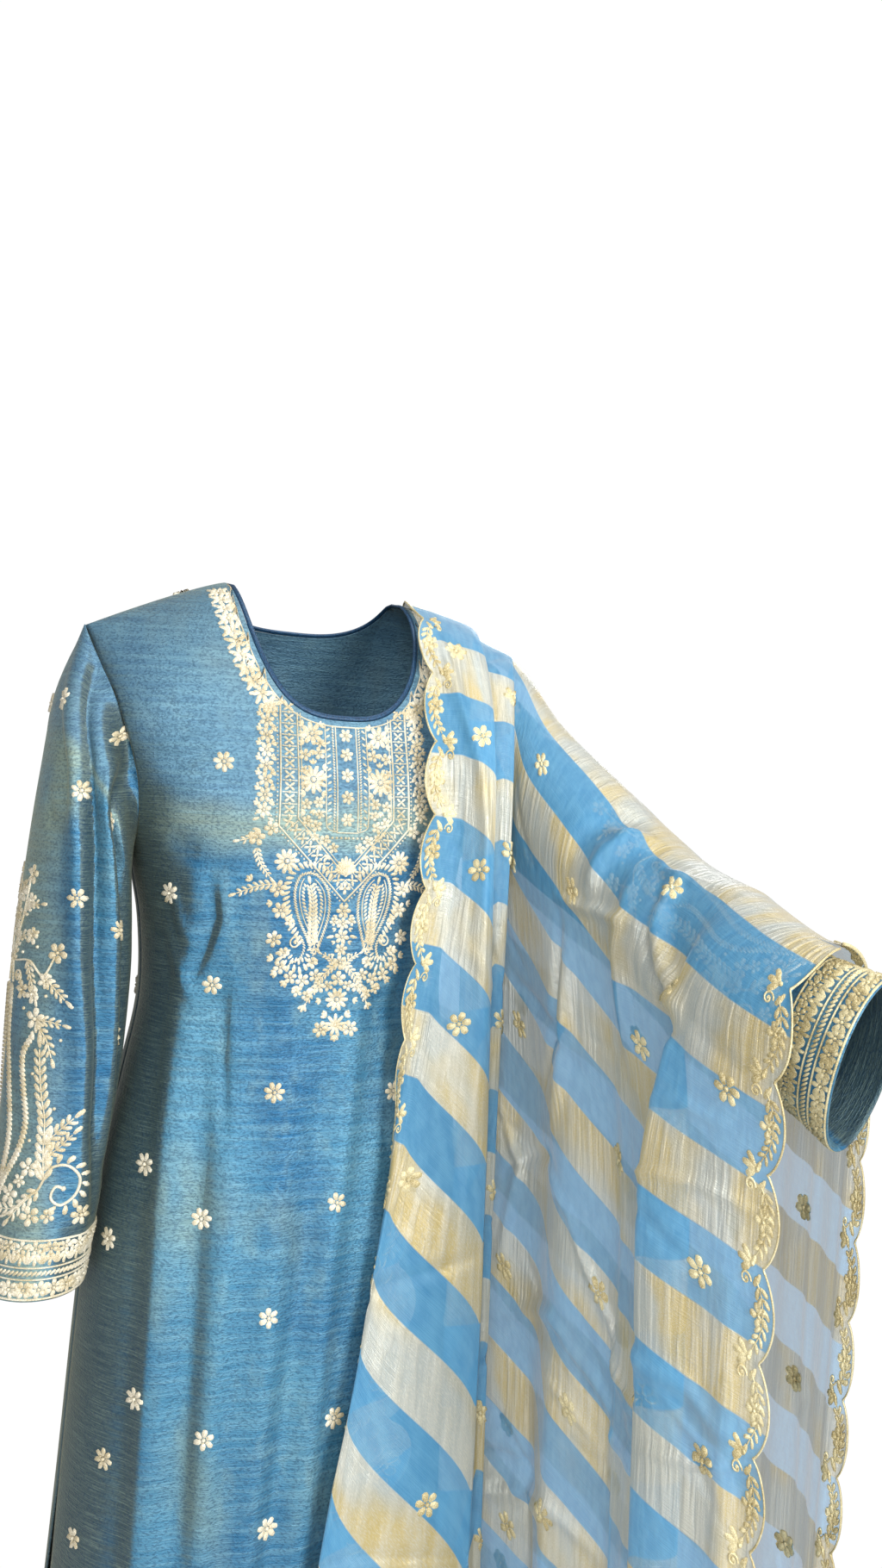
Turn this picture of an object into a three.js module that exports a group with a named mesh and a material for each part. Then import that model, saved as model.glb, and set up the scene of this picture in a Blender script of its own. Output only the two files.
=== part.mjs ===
// A sharara suit as it is worn: a long kurta with set-in sleeves, a pair of flared sharara trousers
// under it, and a scalloped dupatta over the left shoulder and the raised left arm.
// Millimetres. The origin is the middle of the neck opening on the shoulder line; the front of the
// suit faces -Y, +Z is up, and the wearer's left arm is on the +X side.
import * as THREE from "three";

// ---------------------------------------------------------------- driving sizes
const CLOTH = 1.2; // wall of the kurta and the sharara
const CHIFFON = 1.0; // wall of the dupatta
const SEAM_GAP = 0.3; // between two pieces that are sewn together

const NECK_HALF = 86; // half width of the neck opening on the shoulder line
const NECK_DROP = { front: 120, back: 34 };
const NECK_POWER = 2.9; // how square the neckline is
const SHOULDER_TIP = { x: 203, z: -50 };
const SHOULDER_ROUND = 95; // height over which the cloth turns over the shoulder
const UNDERARM_Z = -240;
const KURTA_HEM_Z = -1050;
const SLIT_TOP_Z = -760;
const SLIT_OPEN = 0.07; // share of a panel's half width that the open slit takes at the hem
const ARMHOLE_CURVE = 0.1; // how far the armhole turns in from the side of the chest
const CHEST_POWER = 2.4; // how square the body's cross section is
const CHEST_ROOT = 2.2;

const BINDING_WIDTH = 4.5;
const BINDING_THICK = 2.4;

const WAIST_TOP_Z = -418;
const WAIST_HEIGHT = 38;
const CROTCH_Z = -700;
const SHARARA_HEM_Z = -1430;
const FLUTES = 8; // soft flutes round the hem of each leg
const FLUTE_DEPTH = 17;

const DUPATTA_FRONT = 1000; // length of the cloth from the ridge to the front hem
const DUPATTA_BACK = 1060;
const DUPATTA_WIDTH = 860;
const FRONT_LEVELS = { waist: -450, hip: -640, low: -1050 };
const BACK_LEVEL = -1050;
const FRONT_CUTS = [262, 690]; // where one stretch of the dupatta ends and the next begins
const BACK_CUT = 355;

// ---------------------------------------------------------------- tables
// A table of numbers with named columns: each row becomes an object.
function table(columns, rows) {
  const names = columns.split(" ");
  return rows.map((row) => Object.fromEntries(names.map((name, i) => [name, row[i]])));
}

// Kurta: half width, front depth and back depth of the worn body at each height.
const BODY = table("z half front back", [
  [20, 203, 74, 58],
  [-50, 203, 80, 74],
  [-120, 181, 94, 88],
  [-180, 164, 108, 93],
  [-240, 156, 112, 92],
  [-300, 144, 111, 88],
  [-365, 141, 106, 86],
  [-430, 152, 107, 92],
  [-500, 166, 112, 100],
  [-570, 176, 117, 106],
  [-640, 181, 120, 108],
  [-770, 188, 124, 111],
  [-900, 196, 130, 115],
  [-1050, 206, 137, 121],
]);

// Soft lengthwise folds of the kurta: where each stands across the panel, its width and height at
// the hem. A negative height is a trough.
const KURTA_FOLDS = table("side across width height", [
  [-1, -0.83, 0.1, 5],
  [-1, -0.5, 0.16, -4],
  [-1, -0.12, 0.14, 5],
  [-1, 0.26, 0.1, -5],
  [-1, 0.55, 0.14, 5],
  [1, -0.6, 0.15, 6],
  [1, -0.2, 0.13, -5],
  [1, 0.2, 0.14, 6],
  [1, 0.62, 0.15, 5],
]);

// Right sleeve, hanging: rings from just under the armhole to the cuff.
const RIGHT_SLEEVE = table("x y rx ry zOuter zInner", [
  [-190, -1, 33, 66, -107, -258],
  [-194.5, -2, 38.5, 66, -175, -276],
  [-197.5, -4, 43.5, 62, -245, -306],
  [-201, -8, 47.5, 58, -330, -350],
  [-206, -15, 46.5, 54, -430, -435],
  [-215, -22, 43.5, 50, -520, -520],
  [-225, -28, 41, 47, -592, -592],
]);

// Left sleeve, raised forward: ring centres, the arm's heading seen from above (degrees from +X
// towards the front), half width, half height and how far the lower edge sits back.
const LEFT_SLEEVE = table("x y z heading width height lean", [
  [205, -30, -158, 35, 60, 82, 0],
  [220, -85, -194, 60, 57, 72, 0],
  [236, -150, -232, 75, 53, 64, 0],
  [250, -232, -283, 88, 50, 58, 0],
  [247, -320, -304, 95, 46, 54, 0],
  [240, -400, -330, 91, 44, 56, 6],
  [250, -472, -349, 74, 41, 62, 30],
]);

// Sharara: the hips above the fork, and each leg below it.
const HIPS = table("z half front back", [
  [-456, 140, 98, 84],
  [-520, 159, 104, 95],
  [-600, 175, 111, 103.2],
  [-700, 177, 108, 98],
]);
const LEG = table("z inner outer front back", [
  [-745, 7, 177, 97, 87],
  [-900, 8, 182, 100, 88],
  [-1060, 9, 192, 104, 92],
  [-1180, 10, 236, 132, 122],
  [-1310, 10, 303, 168, 158],
  [-1430, 10, 368, 204, 196],
]);

// Dupatta, front: for each fold across the cloth from the neck edge to the wrist edge, its place on
// the ridge over shoulder and arm, on the brow where it starts to hang, and at three levels below.
const FRONT_FALL = table("name u rx ry rz bx by bz wx wy hx hy lx ly", [
  ["neck_edge", 0, 88, -8, 2.4, 68, -118, -208, 53, -122, 84, -124, 62, -152],
  ["under_fold", 44, 120, -8, -3.6, 100, -130, -208, 64, -134, 25, -138, -42, -164],
  ["pleat_edge", 98, 158, -8, -13.6, 126, -144, -215, 128, -152, 128, -157, 114, -178],
  ["pleat_back", 132, 170, -8, -20.6, 106, -122, -215, 106, -136, 102, -142, 96, -161],
  ["slim_fold", 166, 182, -8, -27.4, 132, -124, -215, 130, -134, 130, -140, 126, -158],
  ["slim_edge", 200, 206, -16, -38, 150, -132, -215, 148, -136, 146, -143, 142, -162],
  ["recess_in", 240, 212, -26, -46, 136, -112, -215, 130, -116, 126, -124, 122, -142],
  ["recess_out", 285, 215, -46, -62, 156, -106, -215, 158, -112, 156, -116, 158, -124],
  ["swag_one", 355, 222, -92, -106, 160, -126, -205, 180, -152, 186, -154, 192, -156],
  ["swag_two", 430, 237, -152, -151, 172, -172, -235, 168, -206, 170, -208, 166, -212],
  ["swag_three", 505, 247, -214, -196, 184, -226, -285, 190, -258, 196, -262, 200, -264],
  ["elbow_fold", 575, 247, -264, -222, 180, -272, -300, 180, -304, 182, -306, 178, -308],
  ["behind_wrist", 650, 243, -330, -238, 182, -334, -318, 188, -352, 192, -356, 196, -358],
  ["wrist_fold", 730, 236, -376, -252, 162, -352, -330, 146, -347, 148, -353, 150, -356],
  ["wrist_mid", 795, 234, -406, -262, 170, -396, -335, 168, -396, 170, -398, 172, -400],
  ["wrist_edge", 860, 238, -440, -271, 190, -444, -340, 193, -439, 194, -438, 196, -438],
]);

// Dupatta, back: the same folds behind the shoulder and outside the arm.
const BACK_FALL = table("u bx by bz lx ly", [
  [0, 84, 108, -190, 66, 142],
  [44, 116, 104, -190, 108, 150],
  [98, 150, 96, -190, 150, 128],
  [132, 168, 90, -190, 176, 134],
  [166, 186, 84, -185, 200, 108],
  [200, 206, 74, -180, 226, 112],
  [240, 224, 62, -180, 244, 84],
  [285, 240, 44, -180, 270, 76],
  [355, 268, -12, -195, 300, 6],
  [430, 299, -96, -225, 338, -52],
  [505, 311, -192, -270, 346, -136],
  [575, 314, -256, -300, 372, -196],
  [650, 308, -322, -315, 352, -250],
  [730, 303, -362, -328, 372, -296],
  [795, 300, -390, -334, 350, -322],
  [860, 296, -410, -338, 338, -346],
]);

// ---------------------------------------------------------------- curves through a table
// A smooth value between rows: a cubic through the rows, by the column named at.
function smooth(rows, at, column, value) {
  const rising = rows[0][at] < rows[rows.length - 1][at];
  const order = rising ? rows : [...rows].reverse();
  const last = order.length - 1;
  const x = Math.min(Math.max(value, order[0][at]), order[last][at]);
  let i = 0;
  while (i < last - 1 && x > order[i + 1][at]) i += 1;
  const slope = (j) => {
    const a = order[Math.max(j - 1, 0)];
    const b = order[Math.min(j + 1, last)];
    return (b[column] - a[column]) / (b[at] - a[at]);
  };
  const [p, q] = [order[i], order[i + 1]];
  const span = q[at] - p[at];
  const k = (x - p[at]) / span;
  const rise = q[column] - p[column];
  const [m, n] = [slope(i) * span, slope(i + 1) * span];
  return p[column] + k * (m + k * (3 * rise - 2 * m - n + k * (m + n - 2 * rise)));
}

const steps = (from, to, count) =>
  Array.from({ length: count + 1 }, (_, i) => from + ((to - from) * i) / count);

// ---------------------------------------------------------------- walls
// The closed wall behind a grid of face points: grid[row][column] holds a point and the direction
// that the face looks in. A round grid joins its last column to its first.
function wallGeometry(grid, thickness, round = false) {
  const rows = grid.length;
  const columns = grid[0].length;
  const points = [];
  for (const depth of [0, thickness])
    for (const row of grid)
      for (const { point, normal } of row) points.push(point.clone().addScaledVector(normal, -depth));
  const id = (side, r, c) => side * rows * columns + r * columns + (c % columns);
  const faces = [];
  const quad = (a, b, c, d) => faces.push([a, b, c], [a, c, d]);
  const spans = round ? columns : columns - 1;
  for (let r = 0; r < rows - 1; r += 1)
    for (let c = 0; c < spans; c += 1) {
      quad(id(0, r, c), id(0, r + 1, c), id(0, r + 1, c + 1), id(0, r, c + 1));
      quad(id(1, r, c), id(1, r, c + 1), id(1, r + 1, c + 1), id(1, r + 1, c));
    }
  for (let c = 0; c < spans; c += 1) {
    quad(id(0, 0, c), id(0, 0, c + 1), id(1, 0, c + 1), id(1, 0, c));
    quad(id(0, rows - 1, c), id(1, rows - 1, c), id(1, rows - 1, c + 1), id(0, rows - 1, c + 1));
  }
  for (let r = 0; r < rows - 1 && !round; r += 1) {
    quad(id(0, r, 0), id(1, r, 0), id(1, r + 1, 0), id(0, r + 1, 0));
    quad(id(0, r, spans), id(0, r + 1, spans), id(1, r + 1, spans), id(1, r, spans));
  }
  const geometry = new THREE.BufferGeometry();
  geometry.setAttribute(
    "position",
    new THREE.Float32BufferAttribute(points.flatMap((p) => [p.x, p.y, p.z]), 3),
  );
  geometry.setIndex(outward(points, faces).flat());
  geometry.computeVertexNormals();
  return geometry;
}

// Faces turned so that the closed body they bound looks outwards.
function outward(points, faces) {
  let volume = 0;
  const cross = new THREE.Vector3();
  for (const [a, b, c] of faces) volume += points[a].dot(cross.crossVectors(points[b], points[c]));
  return volume > 0 ? faces : faces.map(([a, b, c]) => [a, c, b]);
}

// The direction in which each point of a grid looks: the mean of the facets round it, lengthened at
// a fold so that both flanks keep their thickness. sign turns it to the side that shows.
function facing(points, sign, round = false) {
  const rows = points.length;
  const columns = points[0].length;
  const cell = (r, c) => {
    const [a, b] = [points[r][c % columns], points[r + 1][c % columns]];
    const [d, e] = [points[r][(c + 1) % columns], points[r + 1][(c + 1) % columns]];
    return e.clone().sub(a).cross(b.clone().sub(d)).normalize();
  };
  const spans = round ? columns : columns - 1;
  const cells = steps(0, rows - 2, rows - 2).map((r) => steps(0, spans - 1, spans - 1).map((c) => cell(r, c)));
  return points.map((row, r) =>
    row.map((point, c) => {
      const sides = round ? [(c + columns - 1) % columns, c] : [c - 1, c].filter((k) => k >= 0 && k < spans);
      const near = [r - 1, r].filter((k) => cells[k]).flatMap((k) => sides.map((side) => cells[k][side]));
      const normal = near.reduce((sum, n) => sum.add(n), new THREE.Vector3()).normalize();
      const least = Math.min(...near.map((n) => n.dot(normal)));
      return { point, normal: normal.multiplyScalar(sign / Math.max(least, 0.6)) };
    }),
  );
}

// ---------------------------------------------------------------- kurta body
function shoulderHeight(x) {
  const out = Math.max(Math.abs(x) - NECK_HALF, 0) / (SHOULDER_TIP.x - NECK_HALF);
  return SHOULDER_TIP.z * out ** 1.15;
}

function necklineHeight(x, drop) {
  const share = Math.min(Math.abs(x) / NECK_HALF, 1);
  return -drop * (1 - share ** NECK_POWER) ** (1 / 1.9);
}

// Half width of a panel, which ends at the armhole above the underarm.
const panelHalf = (z) => smooth(BODY, "z", "half", z);

// Half width of the whole body, which passes the armhole's edge above the underarm.
function bodyHalf(z) {
  const high = Math.min(Math.max((z - UNDERARM_Z) / (SHOULDER_TIP.z - UNDERARM_Z), 0), 1);
  return panelHalf(z) * (1 + ARMHOLE_CURVE * Math.sin(Math.PI * high));
}

// Distance of the cloth from the shoulder plane at a place across and a height.
function bodyDepth(x, z, side) {
  const depth = smooth(BODY, "z", side < 0 ? "front" : "back", z);
  const across = Math.min(Math.abs(x) / bodyHalf(z), 1);
  const fallen = Math.min(Math.max(shoulderHeight(x) - z, 0) / SHOULDER_ROUND, 1);
  const section = Math.max(1 - across ** CHEST_POWER, 0) ** (1 / CHEST_ROOT);
  return depth * section * Math.sqrt(1 - (1 - fallen) ** 2);
}

function kurtaFold(x, z, side) {
  const grown = Math.min(Math.max((-300 - z) / 600, 0), 1);
  const across = x / bodyHalf(z);
  let height = 0;
  for (const fold of KURTA_FOLDS)
    if (fold.side === side) height += fold.height * Math.exp(-(((across - fold.across) / fold.width) ** 2));
  return height * grown * (1 - across ** 6);
}

// s runs across the panel from -1 to 1; t runs from the shoulder at 0 to the underarm at 1 and the
// hem at 2.
function kurtaPlace(s, t, side) {
  const top = s * SHOULDER_TIP.x;
  const drop = side < 0 ? NECK_DROP.front : NECK_DROP.back;
  const start = Math.abs(top) < NECK_HALF ? necklineHeight(top, drop) : shoulderHeight(top);
  const down = t < 1 ? t * t : 1;
  const edgeZ = t < 1 ? SHOULDER_TIP.z + down * (UNDERARM_Z - SHOULDER_TIP.z) : UNDERARM_Z;
  const z = t < 1 ? start + down * (UNDERARM_Z - start) : UNDERARM_Z + (t - 1) * (KURTA_HEM_Z - UNDERARM_Z);
  const half = t < 1 ? panelHalf(edgeZ) : bodyHalf(z);
  const slit = Math.max(SLIT_TOP_Z - z, 0) / (SLIT_TOP_Z - KURTA_HEM_Z);
  const reach = 1 - SLIT_OPEN * slit;
  const bend = Math.min(t, 1) ** 2;
  const x = half * (bend * Math.sin((Math.PI / 2) * s * reach) + (1 - bend) * s);
  const y = side * (bodyDepth(x, z, side) + SEAM_GAP / 2);
  return new THREE.Vector3(x, y, z);
}

// The direction that the cloth of the body looks in, from its depth a little further on.
function kurtaNormal(point, side) {
  const reach = 0.5;
  const { x, z } = point;
  const slopeX = (bodyDepth(x + reach, z, side) - bodyDepth(x - reach, z, side)) / (2 * reach);
  const slopeZ = (bodyDepth(x, z + reach, side) - bodyDepth(x, z - reach, side)) / (2 * reach);
  const onSeam = bodyDepth(x, z, side) < 1;
  return new THREE.Vector3(-slopeX, onSeam ? 0 : side, -slopeZ).normalize();
}

const NECK_CORNER = NECK_HALF / SHOULDER_TIP.x;
const NECK_COLUMNS = steps(-1, 1, 12).map((k) => NECK_CORNER * Math.sin((Math.PI / 2) * k));

function kurtaPanel(side) {
  const across = [
    ...steps(-1, -NECK_CORNER, 5).slice(0, -1),
    ...NECK_COLUMNS,
    ...steps(NECK_CORNER, 1, 5).slice(1),
  ];
  const down = [...steps(0, 1, 6), ...steps(1, 2, 8).slice(1)];
  const grid = down.map((t) =>
    across.map((s) => {
      const point = kurtaPlace(s, t, side);
      const normal = kurtaNormal(point, side);
      point.addScaledVector(normal, kurtaFold(point.x, point.z, side));
      return { point, normal };
    }),
  );
  return wallGeometry(grid, CLOTH);
}

// The binding runs round the neckline just above the panels' raw edge.
function neckBinding() {
  const edge = [
    ...NECK_COLUMNS.map((s) => [s, -1]),
    ...[...NECK_COLUMNS].reverse().slice(1, -1).map((s) => [s, 1]),
  ].map(([s, side]) => {
    const point = kurtaPlace(s, 0, side);
    return { point, normal: kurtaNormal(point, side), side };
  });
  const grid = edge.map(({ point, normal }, i) => {
    const ahead = edge[(i + 1) % edge.length].point;
    const behind = edge[(i + edge.length - 1) % edge.length].point;
    const along = ahead.clone().sub(behind).normalize();
    const inwards = new THREE.Vector3().crossVectors(normal, along).normalize();
    const foot = point.clone().addScaledVector(inwards, SEAM_GAP + 0.2).addScaledVector(normal, 0.6);
    const tip = foot.clone().addScaledVector(inwards, BINDING_WIDTH);
    return [
      { point: foot, normal },
      { point: tip, normal },
    ];
  });
  const across = [0, 1].map((column) => grid.map((row) => row[column]));
  return wallGeometry(across, BINDING_THICK, true);
}

// ---------------------------------------------------------------- sleeves
// Angle 0 is at the shoulder tip, a quarter turn is at the front, half a turn at the underarm.
function armholePlace(angle, hand) {
  const front = angle <= Math.PI;
  const t = front ? angle / Math.PI : 2 - angle / Math.PI;
  const point = kurtaPlace(hand, Math.max(t, 0.02), front ? -1 : 1);
  const lift = SEAM_GAP + 1.2;
  return point.add(new THREE.Vector3(hand * lift, 0, 0));
}

function rightRing(row, angle) {
  const outer = (1 + Math.cos(angle)) / 2;
  return new THREE.Vector3(
    row.x - row.rx * Math.cos(angle),
    row.y - row.ry * Math.sin(angle),
    row.zInner + outer * (row.zOuter - row.zInner),
  );
}

function leftRing(row, angle) {
  const heading = THREE.MathUtils.degToRad(row.heading);
  const ahead = new THREE.Vector3(Math.cos(heading), -Math.sin(heading), 0);
  const inward = new THREE.Vector3(-Math.sin(heading), -Math.cos(heading), 0);
  const low = (1 - Math.cos(angle)) / 2;
  return new THREE.Vector3(row.x, row.y, row.z + row.height * Math.cos(angle))
    .addScaledVector(inward, row.width * Math.sin(angle))
    .addScaledVector(ahead, -row.lean * low);
}

function sleeve(rows, ring, hand) {
  const angles = steps(0, 2 * Math.PI, 20).slice(0, -1);
  const rings = [
    angles.map((a) => armholePlace(a, hand)),
    ...rows.map((row) => angles.map((a) => ring(row, a))),
  ];
  const grid = facing(rings, hand, true);
  return wallGeometry(grid, CLOTH, true);
}

// ---------------------------------------------------------------- sharara
function hipPoint(half, front, back, angle, z) {
  const c = Math.cos(angle);
  const s = Math.sin(angle);
  const depth = s < 0 ? front : back;
  const x = half * Math.sign(c) * Math.abs(c) ** 0.9;
  return new THREE.Vector3(x, depth * Math.sign(s) * Math.abs(s) ** 0.92, z);
}

function waistband() {
  const top = HIPS[0];
  const angles = steps(0, 2 * Math.PI, 28).slice(0, -1);
  const grid = [0, 1].map((level) =>
    angles.map((angle) => {
      const z = WAIST_TOP_Z - level * (WAIST_HEIGHT - SEAM_GAP);
      const point = hipPoint(top.half, top.front, top.back, angle, z);
      const normal = new THREE.Vector3(point.x / top.half ** 2, point.y / top.front ** 2, 0).normalize();
      return { point, normal };
    }),
  );
  return wallGeometry(grid, CLOTH * 2, true);
}

// A leg is one cloth that runs from the front centre seam round the side to the back centre seam,
// and below the fork meets itself at the inseam. w goes round it from 0 to 1, v down from 0 to 2.
function legPlace(w, v, hand) {
  const seam = 0.4;
  if (v <= 1) {
    const z = HIPS[0].z + v * (CROTCH_Z - HIPS[0].z);
    const angle = -Math.PI / 2 + Math.PI * w;
    const [half, front, back] = ["half", "front", "back"].map((name) => smooth(HIPS, "z", name, z));
    const point = hipPoint(half, front, back, angle, z);
    return new THREE.Vector3(hand * Math.max(point.x, seam), point.y, z);
  }
  const z = CROTCH_Z + (v - 1) * (SHARARA_HEM_Z - CROTCH_Z);
  const opened = Math.min((v - 1) / 0.06, 1);
  const [inner, outer, front, back] = ["inner", "outer", "front", "back"].map((name) =>
    smooth(LEG, "z", name, z),
  );
  const flare = Math.min(Math.max((-900 - z) / 530, 0), 1) ** 1.3;
  const turn = -Math.PI + seam / 100 + 2 * (Math.PI - seam / 100) * w;
  const middle = (inner + outer) / 2;
  const reach = (outer - inner) / 2;
  const flute = FLUTE_DEPTH * flare * Math.sin(FLUTES * turn + 0.7 * Math.sin(turn)) * Math.sin(Math.PI * w) ** 0.4;
  const c = Math.cos(turn);
  const s = Math.sin(turn);
  const ring = new THREE.Vector3(middle + (reach + flute) * c, (s < 0 ? front : back) * s + flute * s, z);
  const hip = legPlace(w, 1, 1);
  ring.lerpVectors(hip, ring, opened);
  ring.x = Math.max(ring.x, seam);
  return new THREE.Vector3(hand * ring.x, ring.y, z);
}

function leg(hand) {
  const across = steps(0.002, 0.998, 36);
  const down = [0, 0.5, 1, 1.06, 1.25, 1.47, 1.66, 1.83, 2];
  const points = down.map((v) => across.map((w) => legPlace(w, v, hand)));
  const grid = facing(points, -hand);
  return wallGeometry(grid, CLOTH);
}

// ---------------------------------------------------------------- dupatta
// The path of one lengthwise thread: over the brow as a quarter of an ellipse, then hanging.
function threadPath(ridge, brow, hanging) {
  const path = steps(0, Math.PI / 2, 8).map(
    (a) =>
      new THREE.Vector3(
        ridge.x + (brow.x - ridge.x) * Math.sin(a),
        ridge.y + (brow.y - ridge.y) * Math.sin(a),
        ridge.z + (brow.z - ridge.z) * (1 - Math.cos(a)),
      ),
  );
  const below = [brow, ...hanging];
  for (const z of steps(brow.z, below[below.length - 1].z, 16).slice(1))
    path.push(new THREE.Vector3(smooth(below, "z", "x", z), smooth(below, "z", "y", z), z));
  return path;
}

function along(path, length) {
  let left = length;
  for (let i = 1; i < path.length; i += 1) {
    const span = path[i].distanceTo(path[i - 1]);
    if (left <= span || i === path.length - 1)
      return path[i - 1].clone().lerp(path[i], left / span);
    left -= span;
  }
  return path[path.length - 1].clone();
}

// u runs across the cloth from the neck edge, v along it from the ridge: forward is positive.
function dupattaPlace(u, v) {
  const front = (name) => smooth(FRONT_FALL, "u", name, u);
  const ridge = { x: front("rx"), y: front("ry"), z: front("rz") };
  if (v >= 0) {
    const brow = { x: front("bx"), y: front("by"), z: front("bz") };
    const hanging = [
      { x: front("wx"), y: front("wy"), z: FRONT_LEVELS.waist },
      { x: front("hx"), y: front("hy"), z: FRONT_LEVELS.hip },
      { x: front("lx"), y: front("ly"), z: FRONT_LEVELS.low },
    ];
    const floor = FRONT_LEVELS.low - 400;
    hanging.push({ x: hanging[2].x, y: hanging[2].y, z: floor });
    return along(threadPath(ridge, brow, hanging), v);
  }
  const back = (name) => smooth(BACK_FALL, "u", name, u);
  const brow = { x: back("bx"), y: back("by"), z: back("bz") };
  const low = { x: back("lx"), y: back("ly"), z: BACK_LEVEL };
  const floor = { x: low.x, y: low.y, z: BACK_LEVEL - 500 };
  return along(threadPath(ridge, brow, [low, floor]), -v);
}

// Places across the cloth: each row of the table and the places between two rows.
function foldColumns(from, to, between) {
  const inside = FRONT_FALL.map((row) => row.u).filter((u) => u > from && u < to);
  const stops = [from, ...inside, to];
  return stops.flatMap((u, i) => (i === 0 ? [u] : steps(stops[i - 1], u, between).slice(1)));
}

// A stretch between two cuts. The cloth just past each cut is counted in while the directions are
// worked out, so two stretches look the same way where they meet.
function dupattaPiece(from, to, forward) {
  const gap = SEAM_GAP / 2;
  const before = from === 0 ? [] : [from - 12];
  const beyond = to === DUPATTA_WIDTH ? [] : [to + 12];
  const first = from + (before.length ? gap : 0);
  const last = to - (beyond.length ? gap : 0);
  const across = [...before, ...foldColumns(first, last, 2), ...beyond];
  const down = forward
    ? [gap, 35, 75, 120, 170, 240, 340, 480, 660, 830, DUPATTA_FRONT]
    : [-gap, -35, -75, -120, -175, -250, -380, -560, -800, -DUPATTA_BACK];
  const grid = facing(down.map((v) => across.map((u) => dupattaPlace(u, v))), forward ? 1 : -1);
  return wallGeometry(
    grid.map((row) => row.slice(before.length, row.length - beyond.length)),
    CHIFFON,
  );
}

// ---------------------------------------------------------------- the suit
const FINISH = {
  tissue_silk: { color: 0x467c9e, roughness: 0.42, metalness: 0.3 },
  silk_binding: { color: 0x23506e, roughness: 0.5, metalness: 0.2 },
  chiffon: { color: 0x5f9fc8, roughness: 0.6, metalness: 0.1 },
};

const suit = new THREE.Group();
function add(name, geometry, finish) {
  const mesh = new THREE.Mesh(geometry, new THREE.MeshStandardMaterial(FINISH[finish]));
  mesh.name = name;
  suit.add(mesh);
}

add("kurta_front", kurtaPanel(-1), "tissue_silk");
add("kurta_back", kurtaPanel(1), "tissue_silk");
add("kurta_neck_binding", neckBinding(), "silk_binding");
add("kurta_sleeve_right", sleeve(RIGHT_SLEEVE, rightRing, -1), "tissue_silk");
add("kurta_sleeve_left", sleeve(LEFT_SLEEVE, leftRing, 1), "tissue_silk");
add("sharara_waistband", waistband(), "tissue_silk");
add("sharara_leg_right", leg(-1), "tissue_silk");
add("sharara_leg_left", leg(1), "tissue_silk");
add("dupatta_neck_fall", dupattaPiece(0, FRONT_CUTS[0], true), "chiffon");
add("dupatta_elbow_fall", dupattaPiece(...FRONT_CUTS, true), "chiffon");
add("dupatta_wrist_fall", dupattaPiece(FRONT_CUTS[1], DUPATTA_WIDTH, true), "chiffon");
add("dupatta_back_fall", dupattaPiece(0, BACK_CUT, false), "chiffon");
add("dupatta_outer_fall", dupattaPiece(BACK_CUT, DUPATTA_WIDTH, false), "chiffon");

export default suit;
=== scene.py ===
# A sharara suit as it is worn: a long kurta of blue tissue silk with an embroidered yoke and
# cuffs, flared sharara trousers, and a scalloped dupatta of chiffon and tissue stripes over the
# left shoulder and the raised left arm. Shapes are worked out in millimetres and made in metres.
import math

import bpy
import numpy as np
from mathutils import Matrix, Vector


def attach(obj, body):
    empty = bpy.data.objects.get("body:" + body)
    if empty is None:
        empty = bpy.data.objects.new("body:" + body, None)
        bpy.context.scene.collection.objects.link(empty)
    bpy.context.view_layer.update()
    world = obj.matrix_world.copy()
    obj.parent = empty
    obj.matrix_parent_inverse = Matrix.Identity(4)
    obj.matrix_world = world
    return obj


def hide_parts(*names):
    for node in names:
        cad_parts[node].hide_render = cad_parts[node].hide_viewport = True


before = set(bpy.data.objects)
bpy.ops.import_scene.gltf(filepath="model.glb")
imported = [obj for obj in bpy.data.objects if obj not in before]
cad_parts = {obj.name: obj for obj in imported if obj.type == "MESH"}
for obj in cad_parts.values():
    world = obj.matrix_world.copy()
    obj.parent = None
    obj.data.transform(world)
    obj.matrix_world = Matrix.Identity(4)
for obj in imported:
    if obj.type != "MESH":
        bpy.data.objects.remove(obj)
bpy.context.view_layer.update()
bpy.ops.object.select_all(action="DESELECT")

# ---------------------------------------------------------------- driving sizes, millimetres
CLOTH = 1.2
SEAM_GAP = 0.3
NECK_HALF = 86
NECK_DROP = {-1: 120, 1: 34}
SHOULDER_TIP_X, SHOULDER_TIP_Z = 203, -50
UNDERARM_Z, KURTA_HEM_Z = -240, -1050
SLIT_TOP_Z, SLIT_OPEN = -760, 0.07
SHOULDER_ROUND, FLAT_CHEST = 95, 110
WAIST_TOP_Z, WAIST_HEIGHT = -418, 38
WAIST_HALF, WAIST_FRONT, WAIST_BACK = 140, 98, 84
CROTCH_Z, FLARE_TOP_Z, SHARARA_HEM_Z = -700, -900, -1430
FLUTES, FLUTE_DEPTH = 8, 17
DUPATTA_FRONT, DUPATTA_BACK, DUPATTA_WIDTH = 1000, 1060, 860
STRIPE = 110  # one chiffon stripe and one tissue stripe
SCALLOP, SCALLOP_DEPTH, SCALLOP_START = 65, 13, 12


def table(columns, rows):
    """Named columns of numbers, one row for each section or fold."""
    return {name: np.array(values, float) for name, values in zip(columns.split(), zip(*rows))}


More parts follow.
